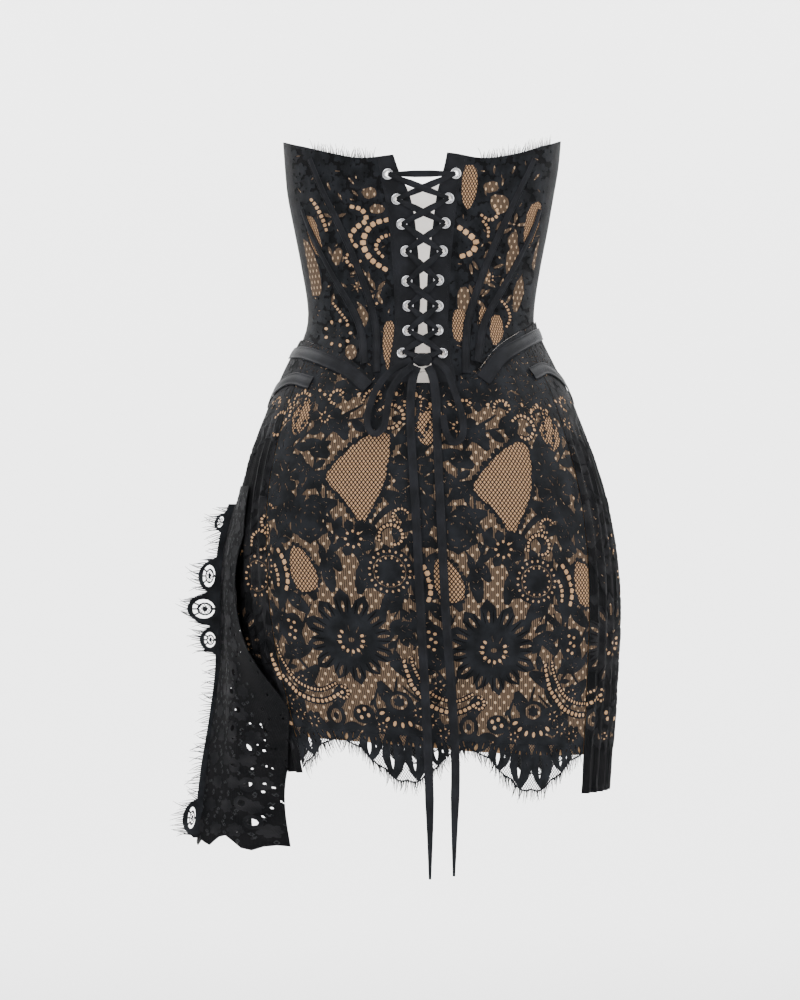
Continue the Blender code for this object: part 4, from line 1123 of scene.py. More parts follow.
    def placed(self, arc: float, height: float, lift: float = 0.0) -> list[Shape]:
        """The pattern laid on the flat cut with its origin at one place.

        Args:
            arc: Arc of the origin.
            height: Height of the origin.
            lift: Added to every height, as where the hem hangs lower.

        Returns:
            The shapes in metres.
        """
        breadth = {level: FORM.breadth(arc, height + 0.02 * level) for level in range(-8, 14)}
        made = []
        for shape in self.shapes:
            loop = []
            for x, y in shape.loop:
                step = min(max(round(y * MILLI / 0.02), -8), 13)
                loop.append((arc + x * MILLI / breadth[step], height + y * MILLI + lift))
            made.append(Shape(shape.role, shape.level, tuple(loop)))
        return made

    def seen(self) -> list[Shape]:
        """The pattern laid on the back as the camera sees it, drawn about the middle of the waist."""
        made = []
        for shape in self.shapes:
            loop = tuple(FORM.seen_at(x * MILLI, y * MILLI) for x, y in shape.loop)
            made.append(Shape(shape.role, shape.level, loop))
        return made


def skirt_repeat() -> Pattern:
    """One repeat of the skirt's lace, drawn about the middle of its large flower."""
    lace = Pattern()
    lace.flower((0, 0), 50, 12, 10, 96, heart=0, uneven=0.12, slits=False)
    for index in range(12):
        lace.petal((0, 0), 96 + 30 * index, 27, 12, 3.6, Role.GROUND, 11)
        # thin sunk lines of dense ground beside each opening, darker partly as painted shade
        for way in (-1, 1):
            lace.petal((0, 0), 96 + 30 * index + 8 * way, 26, 15, 1.6, Role.DENSE, 11)
    lace.flower((2, -1), 25, 9, 12, 80, heart=0, uneven=0.05)
    lace.disc((0, 0), 9.5, 8.5, Role.THREAD, 15)
    for index in range(10):
        place = turned((11.5, 0.0), 20 - 27 * index, (1, 0))
        lace.disc(place, 2.1, 1.5, Role.CELL, 17, 20 - 27 * index, 7)
    lace.disc((1, 0), 3.0, 2.4, Role.GROUND, 16)
    # leaves and stems round the large flower
    for foot, turn, length, width in (
        ((-38, 26), 140, 30, 12), ((-30, 38), 115, 34, 12), ((34, 28), 48, 30, 13), ((40, 8), 12, 27, 12),
        ((36, -22), -28, 30, 13), ((-40, -8), 196, 26, 12), ((-36, -26), 222, 26, 12), ((14, 44), 74, 34, 13),
        ((-12, 46), 100, 30, 12), ((52, -34), -62, 26, 11), ((22, -40), -68, 26, 12), ((-16, -44), -110, 24, 12),
    ):
        lace.leaf(foot, turn, length, width, 8, slits=2)
    # rosette of cell rows with a dark middle
    lace.disc((45, 66), 24, 23, Role.THREAD, 9, sides=14)
    for radius, size, cells in ((19.5, 3.0, 21), (13.0, 2.6, 14)):
        for index in range(cells):
            place = turned((radius, 0.0), 360 * index / cells, (45, 66))
            lace.disc(place, size / 2, size / 2 * 0.8, Role.CELL, 11, 360 * index / cells, 6)
    lace.disc((45, 66), 16.4, 15.8, Role.GROUND, 10, sides=14)
    lace.disc((45, 66), 15.2, 14.6, Role.THREAD, 10, sides=14)
    lace.flower((45, 66), 10, 6, 12, 90, heart=0, slits=False)
    # small flower over the large one, with a ring of cells
    lace.flower((12, 97), 21, 8, 12, 60, heart=0, uneven=0.1)
    for index in range(8):
        place = turned((7.5, 0.0), 45 * index, (12, 97))
        lace.disc(place, 1.7, 1.4, Role.CELL, 14, 45 * index, 6)
    # rose with dashed rows
    lace.disc((-32, 114), 19, 20, Role.THREAD, 11, sides=12)
    for index in range(6):
        lace.petal((-32, 114), 30 + 60 * index, 9, 13, 12, Role.THREAD, 11)
    for radius, dashes in ((15.0, 11), (9.0, 6)):
        for index in range(dashes):
            at = 360 * index / dashes
            lace.disc(turned((radius, 0.0), at, (-32, 114)), 0.8, 2.1, Role.GROUND, 13, at, 6)
    # scrolls of cells at the right of the small flower
    lace.scroll((50, 99), 14, 200, -290, 3.4, 12)
    lace.scroll((58, 118), 9, 20, 270, 2.8, 12)
    lace.band([(30, 108), (42, 122), (60, 132), (74, 128)], 6, Role.THREAD, 9)
    # teardrop of large cells beside a net window
    lace.petal((-66, 36), 92, 0, 62, 24, Role.THREAD, 9)
    lace.pebbles([(-62, 46), (-59, 60), (-63, 76), (-71, 88)], 5.4, 10, bed=1.4)
    lace.pebbles([(-71, 50), (-71, 62), (-75, 73)], 4.0, 10, bed=1.3)
    lace.window([(-54, 92), (-38, 86), (-25, 62), (-28, 47), (-48, 45), (-57, 66)], 9, bobble=3.4)
    # oval leaf with a cluster of cells, and crossing stems
    lace.disc((-59, 11), 12, 15, Role.THREAD, 11, -20, 11)
    for x, y in ((-62, 18), (-56, 16), (-60, 11), (-55, 8), (-62, 4), (-57, 1)):
        lace.disc((x, y), 2.0, 1.7, Role.CELL, 13, sides=6)
    lace.band([(-84, -32), (-66, -12), (-52, 4), (-36, 34)], 3.0, Role.THREAD, 9)
    lace.band([(-44, -34), (-60, -12), (-70, 8), (-80, 40)], 3.0, Role.THREAD, 9)
    # garland of two rows of cells under the large flower
    lace.pebbles([(-87, -8), (-80, -32), (-62, -53), (-38, -60), (-14, -50)], 4.3, 14, bed=1.6)
    lace.pebbles([(-80, -6), (-73, -26), (-59, -43), (-38, -49), (-20, -42)], 3.2, 14, bed=1.6)
    lace.scroll((-16, -52), 7, 100, -250, 3.0, 15)
    # small ring, and a leaf with four cells
    lace.disc((-26, -74), 9.5, 11.5, Role.THREAD, 12, sides=11)
    lace.disc((-26, -74), 5.6, 7.4, Role.GROUND, 13, sides=10)
    lace.disc((-26, -74), 2.6, 3.6, Role.THREAD, 14, sides=8)
    lace.disc((2, -72), 11, 9.5, Role.THREAD, 12, sides=11)
    for x, y in ((-3, -69), (3, -67), (-1, -75), (6, -73)):
        lace.disc((x, y), 1.9, 2.3, Role.CELL, 14, sides=6)
    # large net window over the flower, framed by leaves
    lace.window(
        [(-16, 157), (-2, 174), (14, 190), (36, 202), (48, 194), (47, 172), (44, 150), (34, 130), (22, 108),
         (14, 120), (4, 136), (-8, 146)],
        9, border=2.4, bobble=4.4,
    )
    for foot, turn, length, width in (
        ((-12, 176), 150, 30, 14), ((-10, 160), 200, 26, 13), ((4, 192), 118, 28, 12), ((30, 202), 84, 26, 12),
        ((50, 188), 40, 30, 14), ((50, 166), -10, 30, 14), ((42, 142), -30, 32, 14), ((24, 114), -70, 20, 11),
        ((-2, 132), 190, 26, 12), ((60, 150), 60, 30, 14), ((72, 178), 100, 30, 14), ((80, 140), -60, 30, 13),
    ):
        lace.leaf(foot, turn, length, width, 8, slits=2)
    lace.flower((74, 152), 25, 8, 9, 100, heart=0)
    for index in range(6):
        place = turned((8, 0.0), 60 * index, (74, 152))
        lace.disc(place, 1.2, 1.0, Role.GROUND, 12, 60 * index, 6)
    # pair of scrolls under the waist, and the narrow windows between them
    lace.scroll((44, 212), 15, 150, -280, 3.6, 12)
    lace.scroll((62, 226), 10, -20, 260, 3.0, 12)
    lace.scroll((24, 232), 10, 200, -250, 3.0, 12)
    lace.window([(-66, 214), (-52, 232), (-38, 222), (-42, 204), (-56, 194)], 9, bobble=3.2)
    lace.window([(72, 232), (82, 238), (80, 204), (74, 194), (69, 210)], 9, bobble=3.0)
    lace.flower((-22, 214), 19, 7, 9, 70, heart=7)
    lace.flower((-70, 178), 20, 8, 9, 110, heart=0)
    for foot, turn, length, width in (
        ((-60, 190), 60, 24, 11), ((-84, 196), 120, 26, 11), ((-52, 168), -20, 26, 12), ((-72, 156), -80, 28, 12),
        ((-40, 150), 100, 28, 12), ((96, 214), 80, 26, 12), ((0, 232), 70, 24, 10), ((-44, 236), 90, 22, 10),
        ((76, 60), 60, 26, 11), ((70, 40), 20, 24, 11), ((78, 96), 100, 28, 12), ((62, 20), -20, 22, 11),
        ((-2, 66), 120, 22, 10), ((26, 76), 140, 18, 9), ((84, 10), -80, 26, 11), ((66, -22), 20, 24, 11),
    ):
        lace.leaf(foot, turn, length, width, 8, slits=2)
    # fine stems that tie the motifs together
    for points in (
        [(-24, 62), (-20, 84), (-26, 98)], [(30, 56), (22, 72), (16, 80)], [(66, 84), (80, 104), (78, 128)],
        [(-70, 96), (-64, 120), (-70, 150)], [(-50, 130), (-30, 150), (-8, 158)], [(60, -10), (74, 12), (78, 40)],
        [(44, -44), (58, -58), (74, -56)], [(-10, 212), (6, 220), (16, 226)], [(60, 196), (70, 206), (80, 204)],
        [(-96, 30), (-84, 54), (-82, 84)], [(-2, 106), (-12, 124), (-14, 148)], [(30, -60), (36, -50), (40, -36)],
    ):
        lace.band(points, 2.6, Role.THREAD, 7)
    # vines between the motifs, and a close row of flowers under the waist
    for points, leaf in (
        ([(-98, 66), (-90, 106), (-76, 138), (-66, 170), (-42, 196), (-22, 212)], 19),
        ([(68, 84), (86, 108), (72, 132), (62, 160), (68, 196), (56, 218)], 19),
        ([(-32, 60), (-16, 80), (-6, 104), (-14, 128), (-26, 150)], 16),
        ([(-52, 98), (-48, 132), (-30, 158), (-22, 188), (-2, 208), (28, 214)], 18),
        ([(30, 52), (20, 70), (32, 90), (26, 106)], 14), ([(-78, 100), (-86, 60), (-90, 20), (-98, -10)], 17),
        ([(64, -6), (72, 30), (66, 56), (80, 84)], 17), ([(-46, -38), (-66, -62), (-88, -70)], 14),
        ([(60, -40), (76, -20), (84, 8)], 15), ([(20, -46), (14, -62), (22, -80)], 12),
    ):
        lace.vine(points, leaf, 10, 8)
    for index in range(9):
        x = -72 + 18 * index
        lace.flower((x, 240 + 5 * math.sin(1.7 * index)), 15.5, 7, 12, 40 * index, heart=0)
        lace.flower((x + 9, 262 + 4 * math.sin(2.3 * index)), 15, 7, 11, 55 * index, heart=0)
        lace.disc((x + 9, 236), 1.5, 2.2, Role.CELL, 14, 30 * index, 7)
        lace.flower((x, 283 + 4 * math.sin(1.3 * index)), 15, 7, 10, 35 * index, heart=0)
        lace.flower((x + 9, 303 + 4 * math.sin(1.9 * index)), 15, 7, 9, 50 * index, heart=0)
    lace.scroll((-14, 232), 9, 30, 250, 3.4, 14)
    for index in range(13):
        x = -72 + 12 * index
        lace.leaf((x, -103 + 3 * math.sin(1.9 * index)), 90 + 24 * math.sin(2.7 * index), 21 + 5 * math.sin(index), 9, 9,
                  slits=0)
        lace.petal((x, -100), 90 + 24 * math.sin(2.7 * index), 5, 8, 1.8, Role.GROUND, 10)
    for x, y, reach in ((-50, -80, 13), (18, -84, 11), (66, -78, 13), (-4, -92, 9), (-74, -60, 12), (80, -44, 12)):
        lace.flower((x, y), reach, 7, 11, 3 * x, heart=0)
        for index in range(5):
            place = turned((reach * 0.34, 0.0), 72 * index, (x, y))
            lace.disc(place, 1.0, 1.0, Role.CELL, 13, sides=6)
    # fan above the scallop
    for index in range(7):
        at = 205 + 21.5 * index
        lace.petal((38, -62), at, 12, 16, 9.5, Role.THREAD, 9)
        lace.disc(turned((20.5, 0.0), at, (38, -62)), 3.0, 1.7, Role.CELL, 11, at, 7)
    lace.disc((38, -62), 14, 13, Role.THREAD, 9, sides=12)
    lace.disc((38, -60), 8.4, 7.6, Role.GROUND, 11, sides=11)
    lace.flower((38, -60), 6.4, 6, 12, 90, heart=0, slits=False)
    return lace


def shade(red: int, green: int, blue: int) -> tuple[float, float, float, float]:
    """A colour as it shows, 0 to 255, turned into the shader's own scale."""
    def linear(value: int) -> float:
        """One channel on the shader's scale."""
        part = value / 255
        return part / 12.92 if part <= 0.04045 else ((part + 0.055) / 1.055) ** 2.4

    return linear(red), linear(green), linear(blue), 1.0


@dataclass
class Graph:
    """Helper that adds and joins nodes in one tree."""

    tree: bpy.types.NodeTree

    def node(self, kind: str, **values: object) -> bpy.types.Node:
        """Adds a node with settings."""
        made = self.tree.nodes.new(kind)
        for name, value in values.items():
            setattr(made, name, value)
        return made

    def join(self, source: bpy.types.NodeSocket, target: bpy.types.NodeSocket) -> None:
        """Joins two sockets."""
        self.tree.links.new(source, target)

    def put(self, target: bpy.types.NodeSocket, value: object) -> None:
        """Sets a socket to a value, or joins a socket to it."""
        if isinstance(value, bpy.types.NodeSocket):
            self.join(value, target)
        else:
            target.default_value = value

    def math(self, operation: str, first: object, second: object = 0.0, third: object = 0.0) -> bpy.types.NodeSocket:
        """Result of one sum."""
        made = self.node("ShaderNodeMath", operation=operation)
        for socket, value in zip(made.inputs, (first, second, third)):
            self.put(socket, value)
        return made.outputs[0]

    def mix(self, share: object, first: object, second: object) -> bpy.types.NodeSocket:
        """Mix of two colours."""
        made = self.node("ShaderNodeMix", data_type="RGBA")
        self.put(made.inputs[0], share)
        self.put(made.inputs[6], first)
        self.put(made.inputs[7], second)
        return made.outputs[2]


def group(name: str, inputs: dict[str, str], outputs: dict[str, str]) -> tuple[Graph, dict, dict]:
    """Starts a shader node group.

    Args:
        name: Its name.
        inputs: Kind of socket by name.
        outputs: Kind of socket by name.

    Returns:
        The group's graph, its input sockets and its output sockets.
    """
    tree = bpy.data.node_groups.new(name, "ShaderNodeTree")
    for word, sockets in (("INPUT", inputs), ("OUTPUT", outputs)):
        for label, kind in sockets.items():
            tree.interface.new_socket(label, in_out=word, socket_type=f"NodeSocket{kind}")
    graph = Graph(tree)
    start, end = graph.node("NodeGroupInput"), graph.node("NodeGroupOutput")
    return graph, start.outputs, end.inputs


@functools.cache
def net_group() -> bpy.types.NodeTree:
    """Six-sided net of fine threads: a mask that is 1 on the threads."""
    graph, given, made = group("lace_net", {"Flat": "Vector", "Mesh": "Float", "Thread": "Float"}, {"Threads": "Float"})
    parts = graph.node("ShaderNodeSeparateXYZ")
    graph.join(given["Flat"], parts.inputs[0])
    across = graph.math("DIVIDE", parts.outputs[0], given["Mesh"])
    up = graph.math("DIVIDE", parts.outputs[1], graph.math("MULTIPLY", given["Mesh"], 1.25))
    lines = []
    for operation in ("ADD", "SUBTRACT"):
        line = graph.math("PINGPONG", graph.math(operation, across, up), 0.5)
        wide = graph.math("DIVIDE", given["Thread"], given["Mesh"])
        lines.append(graph.math("LESS_THAN", line, wide))
    graph.put(made["Threads"], graph.math("MAXIMUM", *lines))
    return graph.tree


@functools.cache
def tulle_group() -> bpy.types.NodeTree:
    """Dotted tulle: a mask of light dots and one of fine upright threads."""
    graph, given, made = group(
        "dotted_tulle", {"Flat": "Vector", "Pitch": "Float", "Dot": "Float", "Threads": "Float"},
        {"Dots": "Float", "Lines": "Float"},
    )
    parts = graph.node("ShaderNodeSeparateXYZ")
    graph.join(given["Flat"], parts.inputs[0])
    reaches = []
    for shift in (0.0, 0.5):
        squares = []
        for axis, stretch in ((0, 1.0), (1, 1.15)):
            place = graph.math("DIVIDE", parts.outputs[axis], graph.math("MULTIPLY", given["Pitch"], stretch))
            off = graph.math("SUBTRACT", graph.math("FRACT", graph.math("ADD", place, shift)), 0.5)
            squares.append(graph.math("MULTIPLY", off, off))
        reaches.append(graph.math("SQRT", graph.math("ADD", *squares)))
    near = graph.math("MINIMUM", *reaches)
    graph.put(made["Dots"], graph.math("LESS_THAN", near, graph.math("DIVIDE", given["Dot"], given["Pitch"])))
    line = graph.math("PINGPONG", graph.math("DIVIDE", parts.outputs[0], given["Threads"]), 0.5)
    graph.put(made["Lines"], graph.math("LESS_THAN", line, 0.17))
    return graph.tree


@functools.cache
def yarn_group() -> bpy.types.NodeTree:
    """Worked yarn or woven cloth: a height that runs along two ways and a slow change of shade."""
    graph, given, made = group(
        "yarn", {"Place": "Vector", "Pitch": "Float", "Slant": "Float"}, {"Height": "Float", "Shade": "Float"}
    )
    parts = graph.node("ShaderNodeSeparateXYZ")
    graph.join(given["Place"], parts.inputs[0])
    leaning = graph.math("MULTIPLY_ADD", parts.outputs[1], given["Slant"], parts.outputs[0])
    rib = graph.math("PINGPONG", graph.math("DIVIDE", leaning, given["Pitch"]), 0.5)
    cross = graph.math("MULTIPLY_ADD", parts.outputs[0], -0.6, graph.math("ADD", parts.outputs[1], parts.outputs[2]))
    weft = graph.math("PINGPONG", graph.math("DIVIDE", cross, given["Pitch"]), 0.5)
    graph.put(made["Height"], graph.math("ADD", rib, graph.math("MULTIPLY", weft, 0.7)))
    noise = graph.node("ShaderNodeTexNoise")
    noise.inputs["Scale"].default_value = 55.0
    noise.inputs["Detail"].default_value = 3.0
    graph.join(given["Place"], noise.inputs["Vector"])
    graph.put(made["Shade"], noise.outputs[0])
    return graph.tree


def start_material(
    name: str, roughness: float, metallic: float = 0.0
) -> tuple[bpy.types.Material, Graph, bpy.types.Node]:
    """Starts a material.

    Args:
        name: Its name.
        roughness: Its roughness.
        metallic: Its metallic value.

    Returns:
        The material, its graph and its main shader.
    """
    made = bpy.data.materials.new(name)
    made.use_nodes = True
    shader = made.node_tree.nodes["Principled BSDF"]
    shader.inputs["Roughness"].default_value = roughness
    shader.inputs["Metallic"].default_value = metallic
    return made, Graph(made.node_tree), shader


def place_of(graph: Graph, flat: bool) -> bpy.types.NodeSocket:
    """Where a point lies: on the piece's own cut, or in the dress's frame."""
    if flat:
        return graph.node("ShaderNodeUVMap", uv_map=FLAT_MAP).outputs[0]
    return graph.node("ShaderNodeTexCoord").outputs["Object"]


def use_group(graph: Graph, tree: bpy.types.NodeTree, **values: object) -> bpy.types.Node:
    """Places a node group with its values."""
    made = graph.node("ShaderNodeGroup", node_tree=tree)
    for name, value in values.items():
        graph.put(made.inputs[name], value)
    return made


def add_bump(graph: Graph, shader: bpy.types.Node, height: bpy.types.NodeSocket, distance: float) -> None:
    """Raises a material by a height."""
    bump = graph.node("ShaderNodeBump")
    bump.inputs["Strength"].default_value = 0.6
    bump.inputs["Distance"].default_value = distance
    graph.join(height, bump.inputs["Height"])
    graph.join(bump.outputs[0], shader.inputs["Normal"])


@dataclass(frozen=True)
class Yarn:
    """Black worked thread, satin or plain woven cloth."""

    name: str
    dark: tuple[int, int, int]
    light: tuple[int, int, int]
    roughness: float
    pitch: float
    slant: float
    depth: float
    flat: bool = True
    gloss: float = 0.12

    @functools.cache
    def material(self) -> bpy.types.Material:
        """The finish as a material."""
        made, graph, shader = start_material(self.name, self.roughness)
        weave = use_group(
            graph, yarn_group(), Place=place_of(graph, self.flat), Pitch=self.pitch, Slant=self.slant
        )
        share = graph.node("ShaderNodeMapRange")
        share.inputs["From Min"].default_value = 0.38
        share.inputs["From Max"].default_value = 0.64
        graph.join(weave.outputs["Shade"], share.inputs["Value"])
        graph.put(shader.inputs["Base Color"], graph.mix(share.outputs[0], shade(*self.dark), shade(*self.light)))
        shader.inputs["Specular IOR Level"].default_value = self.gloss
        add_bump(graph, shader, weave.outputs["Height"], self.depth)
        return made


@dataclass(frozen=True)
class Tulle:
    """Ground of the lace: dotted tulle, or open net, over the nude lining."""

    name: str
    base: tuple[int, int, int]
    thread: tuple[int, int, int]
    dot: tuple[int, int, int]
    net: bool
    mesh: float
    line: float

    @functools.cache
    def material(self) -> bpy.types.Material:
        """The finish as a material."""
        made, graph, shader = start_material(self.name, 0.8)
        flat = place_of(graph, True)
        if self.net:
            mask = use_group(graph, net_group(), Flat=flat, Mesh=self.mesh, Thread=self.line).outputs[0]
            colour = graph.mix(mask, shade(*self.base), shade(*self.thread))
        else:
            marks = use_group(graph, tulle_group(), Flat=flat, Pitch=0.0095, Dot=self.line, Threads=self.mesh)
            mask = marks.outputs["Lines"]
            colour = graph.mix(mask, shade(*self.base), shade(*self.thread))
            colour = graph.mix(marks.outputs["Dots"], colour, shade(*self.dot))
        graph.put(shader.inputs["Base Color"], colour)
        shader.inputs["Specular IOR Level"].default_value = 0.1
        add_bump(graph, shader, mask, 0.0002)
        return made


@dataclass(frozen=True)
class SheerNet:
    """Open black net that shows what lies behind it."""

    name: str
    mesh: float
    line: float

    @functools.cache
    def material(self) -> bpy.types.Material:
        """The finish as a material."""
        made, graph, shader = start_material(self.name, 0.8)
        mask = use_group(graph, net_group(), Flat=place_of(graph, True), Mesh=self.mesh, Thread=self.line).outputs[0]
        graph.put(shader.inputs["Base Color"], graph.mix(mask, shade(46, 46, 48), shade(24, 26, 29)))
        graph.put(shader.inputs["Alpha"], mask)
        return made


@dataclass(frozen=True)
class Metal:
    """Polished metal with fine handling marks."""

    name: str
    colour: tuple[int, int, int]

    @functools.cache
    def material(self) -> bpy.types.Material:
        """The finish as a material."""
        made, graph, shader = start_material(self.name, 0.2, 1.0)
        noise = graph.node("ShaderNodeTexNoise")
        noise.inputs["Scale"].default_value = 900.0
        graph.join(place_of(graph, False), noise.inputs["Vector"])
        rough = graph.math("MULTIPLY_ADD", noise.outputs[0], 0.22, 0.12)
        graph.put(shader.inputs["Roughness"], rough)
        graph.put(shader.inputs["Base Color"], graph.mix(noise.outputs[0], shade(*self.colour), shade(214, 214, 217)))
        return made


WORKED = Yarn("worked_lace_thread", (9, 11, 14), (26, 28, 32), 0.72, 0.0011, 0.5, 0.0003)
# The dense ground is darker than the worked thread: partly the net's own black, partly painted shade in the recesses
# between the raised petals.
DENSE = Yarn("dense_lace_ground_and_painted_shade", (5, 6, 8), (13, 13, 15), 0.85, 0.0021, 0.0, 0.0005)
BAND_LACE = Yarn("gathered_lace", (9, 10, 13), (28, 28, 30), 0.75, 0.0016, 0.4, 0.0004)
SATIN = Yarn("satin_tape", (17, 18, 21), (27, 28, 32), 0.52, 0.0007, 1.0, 0.00008, False, 0.10)
PALE = Yarn("lining_inside", (234, 230, 226), (242, 239, 236), 0.85, 0.0009, 1.0, 0.0001)
NUDE = Yarn("nude_cloth", (170, 134, 100), (190, 154, 118), 0.8, 0.0008, 1.0, 0.0001)
DOTTED = Tulle("dotted_tulle_over_nude", (94, 77, 62), (32, 29, 27), (172, 146, 118), False, 0.0021, 0.0013)
WINDOW = Tulle("net_window_over_nude", (166, 132, 100), (30, 27, 26), (0, 0, 0), True, 0.0040, 0.00068)
SHEER = SheerNet("sheer_net", 0.0030, 0.00034)
SILVER = Metal("silver_eyelet", (150, 151, 154))


def lace_finishes(sheer: bool = False) -> list[bpy.types.Material]:
    """Materials of a sheet of lace, in the order of Role.

    Args:
        sheer: Whether there is no lining behind it.

    Returns:
        The materials.
    """
    if sheer:
        net = SHEER.material()
        return [net, net, net, WORKED.material(), net, DENSE.material()]
    plain = [DOTTED.material(), WINDOW.material(), NUDE.material(), WORKED.material(), PALE.material()]
    return [*plain, DENSE.material()]


def declare(cloth: LaceCloth) -> None:
    """Works out a piece of cloth's flat size and area, and uses neither.

    Args:
        cloth: The cut.
    """
    flat, area = cloth.flat_size()


def worked_all_over(lace: Pattern, box: tuple[float, float, float, float], step: float = 15.5) -> None:
    """Adds rows of small worked flowers that nearly fill a box.

    Args:
        lace: The drawing.
        box: Left, right, low and high sides of the box.
        step: Distance between two flowers.
    """
    left, right, low, high = box
    for row in range(int((high - low) / (step * 0.86)) + 1):
        for column in range(int((right - left) / step) + 1):
            wander = math.sin(5.1 * row + 3.3 * column)
            middle = (left + step * (column + 0.5 * (row % 2)) + 1.8 * wander, low + step * 0.86 * row + 1.4 * wander)
            lace.flower(middle, step * (0.60 + 0.05 * wander), 6 + (row + column) % 2, 1, 47 * row + 31 * column,
                        heart=0, slits=False)
            # a sunk dash of dense ground at each flower's heart, darker partly as painted shade in the recess
            lace.petal(middle, 90 * wander, 1.5, 3.4, 1.5, Role.DENSE, 2)
            if (row + 2 * column) % 3 == 0:
                lace.petal(middle, 60 + 80 * wander, 3.0, 5.2, 1.7, Role.GROUND, 2)


def bodice_lace_left() -> Pattern:
    """Lace on the left back of the bodice, drawn about the middle of the waist as it is seen."""
    lace = Pattern()
    worked_all_over(lace, (-128, -18, -78, 176))
    lace.window([(-119, 103), (-107, 101), (-98, 66), (-104, 60), (-113, 78)], 3)
    lace.window([(-122, 82), (-111, 74), (-101, 44), (-100, 22), (-112, 22), (-118, 50)], 3, Role.GROUND)
    lace.pebbles([(-112, 120), (-106, 112), (-99, 98), (-95, 86)], 4.4, 5)
    lace.pebbles([(-73, 112), (-60, 108), (-56, 98), (-66, 90), (-72, 80), (-64, 70)], 5.4, 5)
    lace.pebbles([(-32, 99), (-50, 93), (-59, 76), (-51, 59), (-34, 47)], 6.2, 5)
    lace.pebbles([(-29, 84), (-41, 80), (-46, 70), (-38, 60)], 4.2, 5)
    lace.pebbles([(-60, 58), (-70, 52), (-76, 60), (-70, 68)], 3.6, 4)
    for index in range(5):
        lace.petal((-46, 26), 50 + 62 * index, 2.5, 12, 4.2, Role.GROUND, 4)
        lace.petal((-88, 100), 20 + 70 * index, 3, 10, 3.4, Role.GROUND, 4)
    lace.window([(-62, 128), (-48, 132), (-44, 122), (-56, 118)], 3, Role.GROUND)
    lace.window([(-92, 60), (-84, 72), (-78, 66), (-84, 50)], 3, Role.GROUND)
    lace.window([(-68, 6), (-60, 14), (-52, 2), (-58, -12)], 3, Role.GROUND)
    lace.pebbles([(-44, -2), (-50, 8), (-44, 16)], 3.4, 5)
    lace.disc((-45, 109), 8, 5, Role.GROUND, 4)
    for foot, turn in (((-80, 56), 60), ((-72, 44), 20), ((-84, 36), -30), ((-66, 28), 70), ((-90, 62), 110),
                       ((-62, 50), -50), ((-52, 36), 100), ((-46, 20), 60), ((-58, 8), 130), ((-90, 14), 80)):
        lace.petal(foot, turn, 0, 11, 3.4, Role.GROUND, 3)
    lace.pebbles([(-90, 16), (-82, 6), (-74, -4)], 3.2, 5)
    for index in range(9):
        place = turned((12.5, 0), 40 * index, (-84, -15))
        lace.disc(place, 2.0, 1.6, Role.CELL, 5, 40 * index, 7)
    lace.flower((-84, -15), 8, 6, 4, heart=0)
    lace.disc((-71, -34), 6, 8, Role.GROUND, 4)
    lace.window([(-38, -4), (-27, -2), (-26, -46), (-34, -56), (-40, -30)], 3)
    lace.window([(-93, -38), (-82, -36), (-76, -52), (-88, -60)], 3)
    for x, y in ((-64, 122), (-80, 118), (-92, 128), (-50, 124), (-104, 134), (-68, 134)):
        lace.petal((x, y), 200 + x, 0, 9, 2.4, Role.GROUND, 3)
    lace.flower((-64, 32), 13, 7, 2, heart=5)
    lace.flower((-108, 6), 12, 7, 2, heart=0)
    return lace


def bodice_lace_right() -> Pattern:
    """Lace on the right back of the bodice, drawn about the middle of the waist as it is seen."""
    lace = Pattern()
    worked_all_over(lace, (18, 130, -78, 176))
    lace.window([(41, 153), (55, 153), (56, 128), (47, 106), (39, 118)], 3)
    lace.pebbles([(35, 92), (45, 85), (54, 76), (50, 66), (37, 61)], 6.4, 5, bed=1.4)
    lace.pebbles([(58, 104), (68, 98), (76, 104), (72, 114)], 3.6, 4)
    for index in range(5):
        lace.petal((52, 20), 40 + 70 * index, 2.5, 12, 4.0, Role.GROUND, 4)
        lace.petal((92, 92), 10 + 68 * index, 3, 11, 3.6, Role.GROUND, 4)
    lace.window([(60, 134), (74, 138), (78, 128), (64, 124)], 3, Role.GROUND)
    lace.window([(84, 78), (92, 88), (97, 76), (90, 64)], 3, Role.GROUND)
    lace.window([(58, 44), (66, 52), (70, 40), (62, 32)], 3, Role.GROUND)
    lace.window([(69, 124), (86, 122), (88, 108), (76, 103), (68, 112)], 3, Role.GROUND)
    lace.window([(106, 112), (119, 118), (119, 98), (108, 70), (100, 76)], 3)
    lace.window([(112, 66), (118, 84), (119, 60), (115, 44), (109, 50)], 3, Role.GROUND)
    lace.petal((86, 44), 75, 0, 34, 13, Role.GROUND, 3)
    lace.petal((93, 6), 80, 0, 38, 11, Role.GROUND, 3)
    lace.window([(36, 30), (46, 32), (49, 14), (42, 3), (35, 10)], 3, Role.GROUND)
    lace.window([(31, 9), (43, 8), (45, -12), (38, -26), (30, -18)], 3)
    lace.window([(57, 12), (66, 10), (65, -8), (57, -10)], 3)
    lace.window([(70, 4), (80, 2), (82, -18), (72, -30), (67, -14)], 3)
    for foot, turn in (((62, 60), 60), ((72, 50), 20), ((64, 36), -30), ((56, 48), 120), ((78, 30), 70),
                       ((60, 22), 40), ((74, 88), 60), ((66, 76), -20), ((50, 44), 100), ((84, 14), 60)):
        lace.petal(foot, turn, 0, 11, 3.4, Role.GROUND, 3)
    lace.pebbles([(76, 20), (84, 12), (88, 0), (84, -10)], 3.2, 5)
    lace.pebbles([(60, 98), (66, 90), (66, 80)], 3.4, 5)
    for x, y in ((64, 122), (80, 132), (98, 130), (112, 138), (72, 144), (90, 144)):
        lace.petal((x, y), 160 - x, 0, 9, 2.4, Role.GROUND, 3)
    lace.flower((68, 40), 13, 7, 2, heart=5)
    lace.flower((98, 40), 9, 6, 2, heart=0)
    return lace


